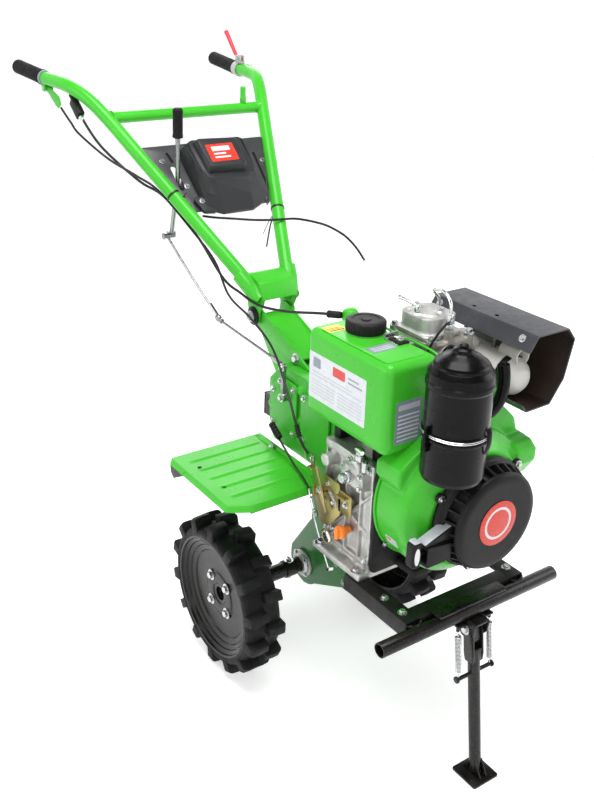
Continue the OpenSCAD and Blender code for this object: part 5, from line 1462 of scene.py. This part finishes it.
# ---------------------------------------------------------------- levers and linkage
stick = [tube([(-522, -120, 984), (-500, -120, 1058), (-484, -120, 1110), (-478, -120, 1140),
               (-474, -120, 1190), (-471, -120, 1246)], 6, 20)]
stick.append(lathe((-484, -134, 1110), LEFT, disc(10, 26, 5, 1, 2), 28))
stick.append(place(hex_bolt(7, 6, False), (-471.6, -120, 1237), (0.04, 0, 1)))
stick.append(block((-530, -130, 976), (-516, -110, 992)))
piece("gear_lever_rod", *join(stick), ROD, "shift_lever", ("shift_lever",), bevel=0.4)
knob = [(0, 8), (0, 12.4), (3, 13.8), (8, 13.2)]
for k in range(11):
    a = 12 + k * 6
    knob += [(a, 13.0), (a + 1, 12.3), (a + 2.4, 12.3), (a + 3.4, 13.0)]
knob += [(81, 13.2), (87, 12.4), (91, 9), (92.5, 0)]
piece("gear_lever_grip", *lathe((-471, -120, 1245), (5, 0, 88), [(d * 0.8, r) for d, r in knob], 48), GRIP,
      "shift_lever", angle=30)
rod = [tube([(-520, -134, 982), (-470, -131, 946), (-400, -125, 896), (-330, -118, 848), (-290, -112, 818)],
            3.5, 16, smooth=False), tube([(-520, -141, 982), (-520, -112, 982)], 6.8, 24, smooth=False),
       lathe((-520, -146, 982), LEFT, disc(9, 3, 0, 0.6, 2), 28)]
u = Vector((230, 22, -164)).normalized()
end = Vector((-290, -112, 818))
rod.append(tube([end - u * 46, end - u * 8], 6.4, 6, smooth=False))
rod.append(lathe(end - u * 10, u, [(0, 3), (2, 6.5), (6, 8.4), (10, 9), (14, 8.4), (18, 6.5), (20, 0)], 32))
piece("gear_rod_upper", *join(rod), ROD, "shift_rod", ("shift_rod",), angle=32)
a, b = Vector((-278, -112, 815)), Vector((-24, -96, 784))
u = (b - a).normalized()
link = [tube([a, b], 3.5, 16, smooth=False),
        lathe(a - u * 7, u, [(0, 0), (0, 6), (12, 7.6), (14, 5), (14, 0)], 6),
        tube([b - u * 34, b - u * 2], 6.2, 6, smooth=False)]
piece("gear_rod_lower", *join(link), ROD, "shift_link", ("shift_link",), angle=32)
arm = [tube([(-12, -95, 700), (-13, -95, 736), (-14, -95, 776)], 6.5, 6, smooth=False,
            flat=lambda t: (1.25, 0.72)), lathe((-12, -102, 700), LEFT, disc(11, 18, 0, 1, 2), 32),
       lathe((-14, -99.5, 778), LEFT, disc(8.4, 9, 0, 0.8, 2), 28)]
piece("selector_arm_bar", *join(arm), ROD, "selector_arm", ("selector_arm",), bevel=0.5)
bolts("selector_nut", [((-12, -102, 700), RIGHT), ((-14, -99.5, 778), RIGHT)], "selector_arm", 6, 5)

# left grip: perch, dipped safety lever
last0, last1 = Vector((-888, 302, 1353)), Vector((-800, 293, 1350))
u = (last1 - last0).normalized()
perch = [lathe(last0 + u * 14, u, disc(22, 23, 17, 1.2, 3, closed=True), 56, closed=True),
         block((-867, 288.6, 1371), (-838, 292.8, 1392)), block((-867, 299.4, 1371), (-838, 303.6, 1392)),
         block((-866, 289, 1369), (-839, 303, 1375)), block((-858, 318, 1340), (-836, 330, 1366))]
piece("lever_perch_clamp", *join(perch), ALLOY, "handlebar", ("lever_perch",), slot="bright_steel",
      bevel=0.8, steps=3, angle=32)
bolts("perch_bolts", [((-847, 330, 1353), LEFT), ((-852, 303.6, 1384), LEFT), ((-852, 288.6, 1384), RIGHT)],
      "handlebar", 4.4, 4)
shapes = [tube([(-846, 296, 1378), (-858, 296, 1386), (-874, 297, 1390), (-898, 298.5, 1411),
                (-922, 299.5, 1436), (-938, 300, 1451)], lambda t: 5.6 + 0.9 * t, 20,
               flat=lambda t: (1.0, 0.55 + 0.45 * t), step=3),
          lathe((-852, 293, 1384), LEFT, disc(6.4, 6, 0, 0.8, 2), 24)]
piece("safety_lever", *join(shapes), RED, "clutch_lever", ("clutch_lever",), angle=40)

# right grip: hand lever, its ears and the cable stop
ears = [prism(rounded([(-884, 1320), (-862, 1318), (-860, 1348), (-886, 1350)], 6, 3, closed=True), "xz", y,
              y + 3.4) for y in (-310, -289.5)]
piece("hand_lever_ears", *join(ears), GREEN, "handlebar", ("squeeze_bracket",), bevel=0.7)
blade = rounded([(-886, 1334), (-846, 1330), (-790, 1315), (-779, 1297), (-796, 1284), (-812, 1290),
                 (-860, 1316), (-884, 1322)], [5, 10, 8, 6, 5, 10, 8, 4], 5, closed=True)
shapes = [prism(blade, "xz", -302, -298.4), lathe((-872, -305, 1328), LEFT, disc(6.4, 14, 0, 0.8, 2), 28)]
piece("hand_lever_blade", *join(shapes), GREEN, "hand_lever", ("hand_lever",), bevel=0.9, steps=3, angle=32)
piece("hand_lever_pin", *lathe((-872, -311, 1328), LEFT,
                               rounded([(0, 0), (0, 5), (2, 5), (2, 3.4), (22, 3.4), (22, 5), (24, 5),
                                        (24, 0)], 0.4, 2), 24), STEEL, "handlebar")
stop = block((-28, -9, -12), (28, 9, 12))
STOP_AT, STOP_SLOPE = (-716, -282, 1294), math.radians(38)
shapes = [tilted(stop, STOP_AT, STOP_SLOPE),
          tube([(-742, -286.5, 1326), (-730, -284, 1314), (-716, -282, 1300)], 6.2, 20)]
piece("cable_stop_block", *join(shapes), PLASTIC, "handlebar", ("cable_stop",), bevel=2.2, steps=3)
u = Vector((math.cos(STOP_SLOPE), 0, -math.sin(STOP_SLOPE)))
at = Vector(STOP_AT) + u * 27
screw = [lathe(at, u, plug(5.2, 16), 24), lathe(at + u * 5, u, plug(8.6, 5), 6),
         lathe(at - u * 58 + Vector((0, 3, 0)), -u, plug(4.6, 9), 24)]
piece("cable_adjuster", *join(screw), CHROME, "handlebar", angle=30)

# ---------------------------------------------------------------- cables
throttle = [(-790, -296, 1286), (-770, -293, 1271), (-742, -290, 1253), (-700, -286, 1230),
            (-610, -250, 1180), (-540, -206, 1145), (-480, -172, 1112), (-384, -130, 1026),
            (-320, -104, 960), (-262, -98, 886), (-190, -84, 850), (-110, -84, 820), (-20, -110, 800),
            (80, -140, 740), (150, -160, 680), (184, -158, 652)]
clutch = [(-692, -282, 1275), (-636, -254, 1205), (-548, -196, 1130), (-480, -160, 1098),
          (-388, -118, 1014), (-300, -92, 920), (-240, -76, 894), (-170, -68, 882), (-80, -48, 890),
          (20, -24, 912), (74, -5, 922)]
lower = [(-24, -112, 612), (20, -114, 586), (75, -120, 563), (130, -134, 561), (178, -148, 556),
         (184, -142, 505), (182, -112, 400), (184, -84, 310)]
bar_cables = piece("bar_cables", *join([tube(throttle, 3.0, 14, step=5), tube(clutch, 3.4, 14, step=5)]),
                   SHEATH, None, ("control_cables",))
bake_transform(bar_cables)
piece("lower_cable", *tube(lower[:5], 2.6, 12, step=5), SHEATH, "chassis")
piece("lower_wire", *tube(lower[4:], 1.8, 12, step=5), CHROME, "chassis")


def boot(a, b, r, rings=4):
    """Corrugated rubber boot on a cable between two points."""
    a, b = Vector(a), Vector(b)
    length = (b - a).length
    prof = [(0, 2), (0, r)]
    for k in range(rings):
        d = length * (k + 1) / (rings + 1)
        prof += [(d - 2.2, r * 0.97), (d, r * 0.74), (d + 2.2, r * 0.95)]
    prof += [(length - 1, r * 0.8), (length, r * 0.5), (length, 2)]
    return lathe(a, b - a, rounded(prof, 0.6, 2), 32)


piece("cable_boots", *join([boot((-36, -112, 622), (6, -115, 602), 8.5),
                            boot((150, -159, 680), (128, -153, 700), 6.5)]), SEAL, "chassis")
ends = [lathe((183, -145, 534), (0.1, 0.2, -0.97), plug(3.8, 30), 20),
        lathe((150, -159, 679), (0.7, 0.05, -0.7), plug(4, 20), 20),
        lathe((184, -88, 314), (0, 0.9, -0.3), plug(5, 14), 20)]
piece("cable_ferrules", *join(ends), CHROME, "chassis", angle=30)
piece("clutch_cable_boot", *boot((46, -12, 916), (84, -2, 923), 9), SEAL, "release_arm")
tie = []
for t, side, tails in ((0.42, 1, ((-30, -62), (-12, -94))), (0.56, -1, ((6, 14),))):
    d = Vector(CROSS) - Vector(FOOT)
    d.y *= side
    p = Vector((FOOT[0], side * FOOT[1], FOOT[2])) + d * t
    d.normalize()
    tie.append(lathe(p, d, disc(18.4, 5, 17, 0.3, 2, closed=True), 48, closed=True))
    for dx, dz in tails:
        start = p + Vector((6, -side * 14, -6))
        tie.append(tube([start, start + Vector((dx * 0.3, -side * 10, dz * 0.35)),
                         start + Vector((dx, -side * 16, dz))], 2.4, 8, flat=lambda v: (1, 0.4)))
piece("cable_ties", *join(tie), SHEATH, "handlebar")

spare_points = [(-404, -90, 1056), (-393, -61, 1051), (-382, -33, 1048), (-371, -4, 1045), (-359, 24, 1042),
                (-348, 53, 1040), (-338, 82, 1039), (-330, 112, 1039), (-323, 142, 1038), (-316, 172, 1032),
                (-308, 201, 1024), (-300, 229, 1014), (-293, 255, 1000), (-285, 280, 983), (-277, 301, 962),
                (-269, 319, 938), (-261, 334, 912)]
spare_line = smooth_path(spare_points, 5)
spare = piece("loose_cable", *tube(spare_line, 3.0, 16, smooth=False), SHEATH, "handlebar",
              ("spare_cable",))

# ---------------------------------------------------------------- hitch behind the gearbox
shapes = [block((-196, -30, 566), (-105, -24.5, 626)), block((-196, 24.5, 566), (-105, 30, 626)),
          block((-196, -30, 566), (-105, 30, 571.5)), block((-196, -30, 620.5), (-105, 30, 626)),
          block((-113, -46, 560), (-105.5, 46, 632))]
piece("hitch_box", *join(shapes), BLACK, "chassis", ("hitch_socket",), bevel=1.2)
bolts("hitch_bolts", [((-113, y, z), BACK) for y in (-39, 39) for z in (568, 624)], "chassis", 5, 4.5)
bolts("rail_bolts", [((x, s * 152, 430.2), UP) for x in (470, 530) for s in (-1, 1)], "chassis", 6, 6)

# ---------------------------------------------------------------- stage and light
floor_size, floor_rise = 9.0, 3.6
STAGE_GLOW, WORLD_GLOW = 0.42, 0.16
CAM_AT = P(1755.2, -1296.5, 1689.6)
CAM_YAW, CAM_PITCH, CAM_ROLL, CAM_LENS, CAM_SENSOR = 144.9, 25.0, 1.5, 43.81, 36.0


def stage_material(name, value):
    """Pale matt floor that glows a little, so that it stays white."""
    n = Nodes(name)
    tone = n.mix(n.noise(3, 2), (value, value, value * 1.004),
                 (value * 0.985, value * 0.985, value * 0.985))
    rough = n.spread(n.noise(8, 2), (0.55, 0.65))
    mat = finish_material(n, tone, rough, n.bump(n.noise(200, 2), 0.02, 0.0005))
    n.shader.inputs["Emission Color"].default_value = (1, 1, 1, 1)
    n.shader.inputs["Emission Strength"].default_value = STAGE_GLOW
    return mat


FLOOR = stage_material("studio_floor", 0.93)
yaw, pitch, roll = (math.radians(a) for a in (CAM_YAW, CAM_PITCH, CAM_ROLL))
facing = Vector((math.cos(pitch) * math.cos(yaw), math.cos(pitch) * math.sin(yaw), -math.sin(pitch)))
right = Vector((math.sin(yaw), -math.cos(yaw), 0))
up = right.cross(facing)
right, up = right * math.cos(roll) + up * math.sin(roll), up * math.cos(roll) - right * math.sin(roll)
camera_data = bpy.data.cameras.new("photo_camera")
camera_data.lens = CAM_LENS
camera_data.sensor_width = CAM_SENSOR
camera_data.sensor_fit = "AUTO"
camera_data.clip_start, camera_data.clip_end = 0.05, 60
camera = bpy.data.objects.new("photo_camera", camera_data)
camera.matrix_world = Matrix(((right.x, up.x, -facing.x, CAM_AT.x), (right.y, up.y, -facing.y, CAM_AT.y),
                              (right.z, up.z, -facing.z, CAM_AT.z), (0, 0, 0, 1)))
bpy.context.scene.collection.objects.link(camera)
bpy.context.scene.camera = camera

# round pale floor that rises to a wall all the way round
rows = [(0.0, 0.0)] + [(floor_size * k / 10, 0.0) for k in range(1, 11)]
rows += [(floor_size + floor_rise * math.sin(math.radians(a)),
          floor_rise * (1 - math.cos(math.radians(a)))) for a in range(10, 91, 10)]
rows += [(floor_size + floor_rise, floor_rise + 6.0)]
verts, around = [], 96
for r, z in rows[1:]:
    verts += [Vector((r * math.cos(2 * math.pi * k / around), r * math.sin(2 * math.pi * k / around), z))
              for k in range(around)]
faces = [tuple(range(around))] + [quad[::-1] for quad in skin(len(rows) - 1, around)]
floor_mesh = bpy.data.meshes.new("studio_floor")
floor_mesh.from_pydata([tuple(v) for v in verts], [], faces)
floor_mesh.materials.append(FLOOR)
for polygon in floor_mesh.polygons:
    polygon.use_smooth = True
floor = bpy.data.objects.new("studio_floor", floor_mesh)
bpy.context.scene.collection.objects.link(floor)


def area_light(name, at, target, width, height, power):
    """Rectangular light that points at the target."""
    data = bpy.data.lights.new(name, "AREA")
    data.shape = "RECTANGLE"
    data.size, data.size_y = width, height
    data.energy = power
    light = bpy.data.objects.new(name, data)
    light.location = at
    light.rotation_mode = "QUATERNION"
    light.rotation_quaternion = (Vector(target) - Vector(at)).to_track_quat("-Z", "Y")
    bpy.context.scene.collection.objects.link(light)


middle = P(60, 0, 650)
area_light("top_light", P(300, -300, 3600), middle, 2.2, 1.8, 106)
area_light("front_light", P(2600, -2400, 2300), middle, 1.2, 1.2, 13)
area_light("right_light", P(-1200, -3200, 1900), middle, 1.5, 1.5, 17)
area_light("left_light", P(1500, 3000, 2200), middle, 1.8, 1.6, 22)
area_light("back_light", P(-3000, 1200, 2400), middle, 2.0, 1.6, 22)
world = bpy.data.worlds.new("studio_world")
bpy.context.scene.world = world
world.use_nodes = True
background = world.node_tree.nodes["Background"]
background.inputs["Color"].default_value = (1.0, 1.0, 1.0, 1)
background.inputs["Strength"].default_value = WORLD_GLOW
scene = bpy.context.scene
scene.view_settings.view_transform = "Standard"
scene.view_settings.look = "None"
scene.view_settings.exposure = 0.0
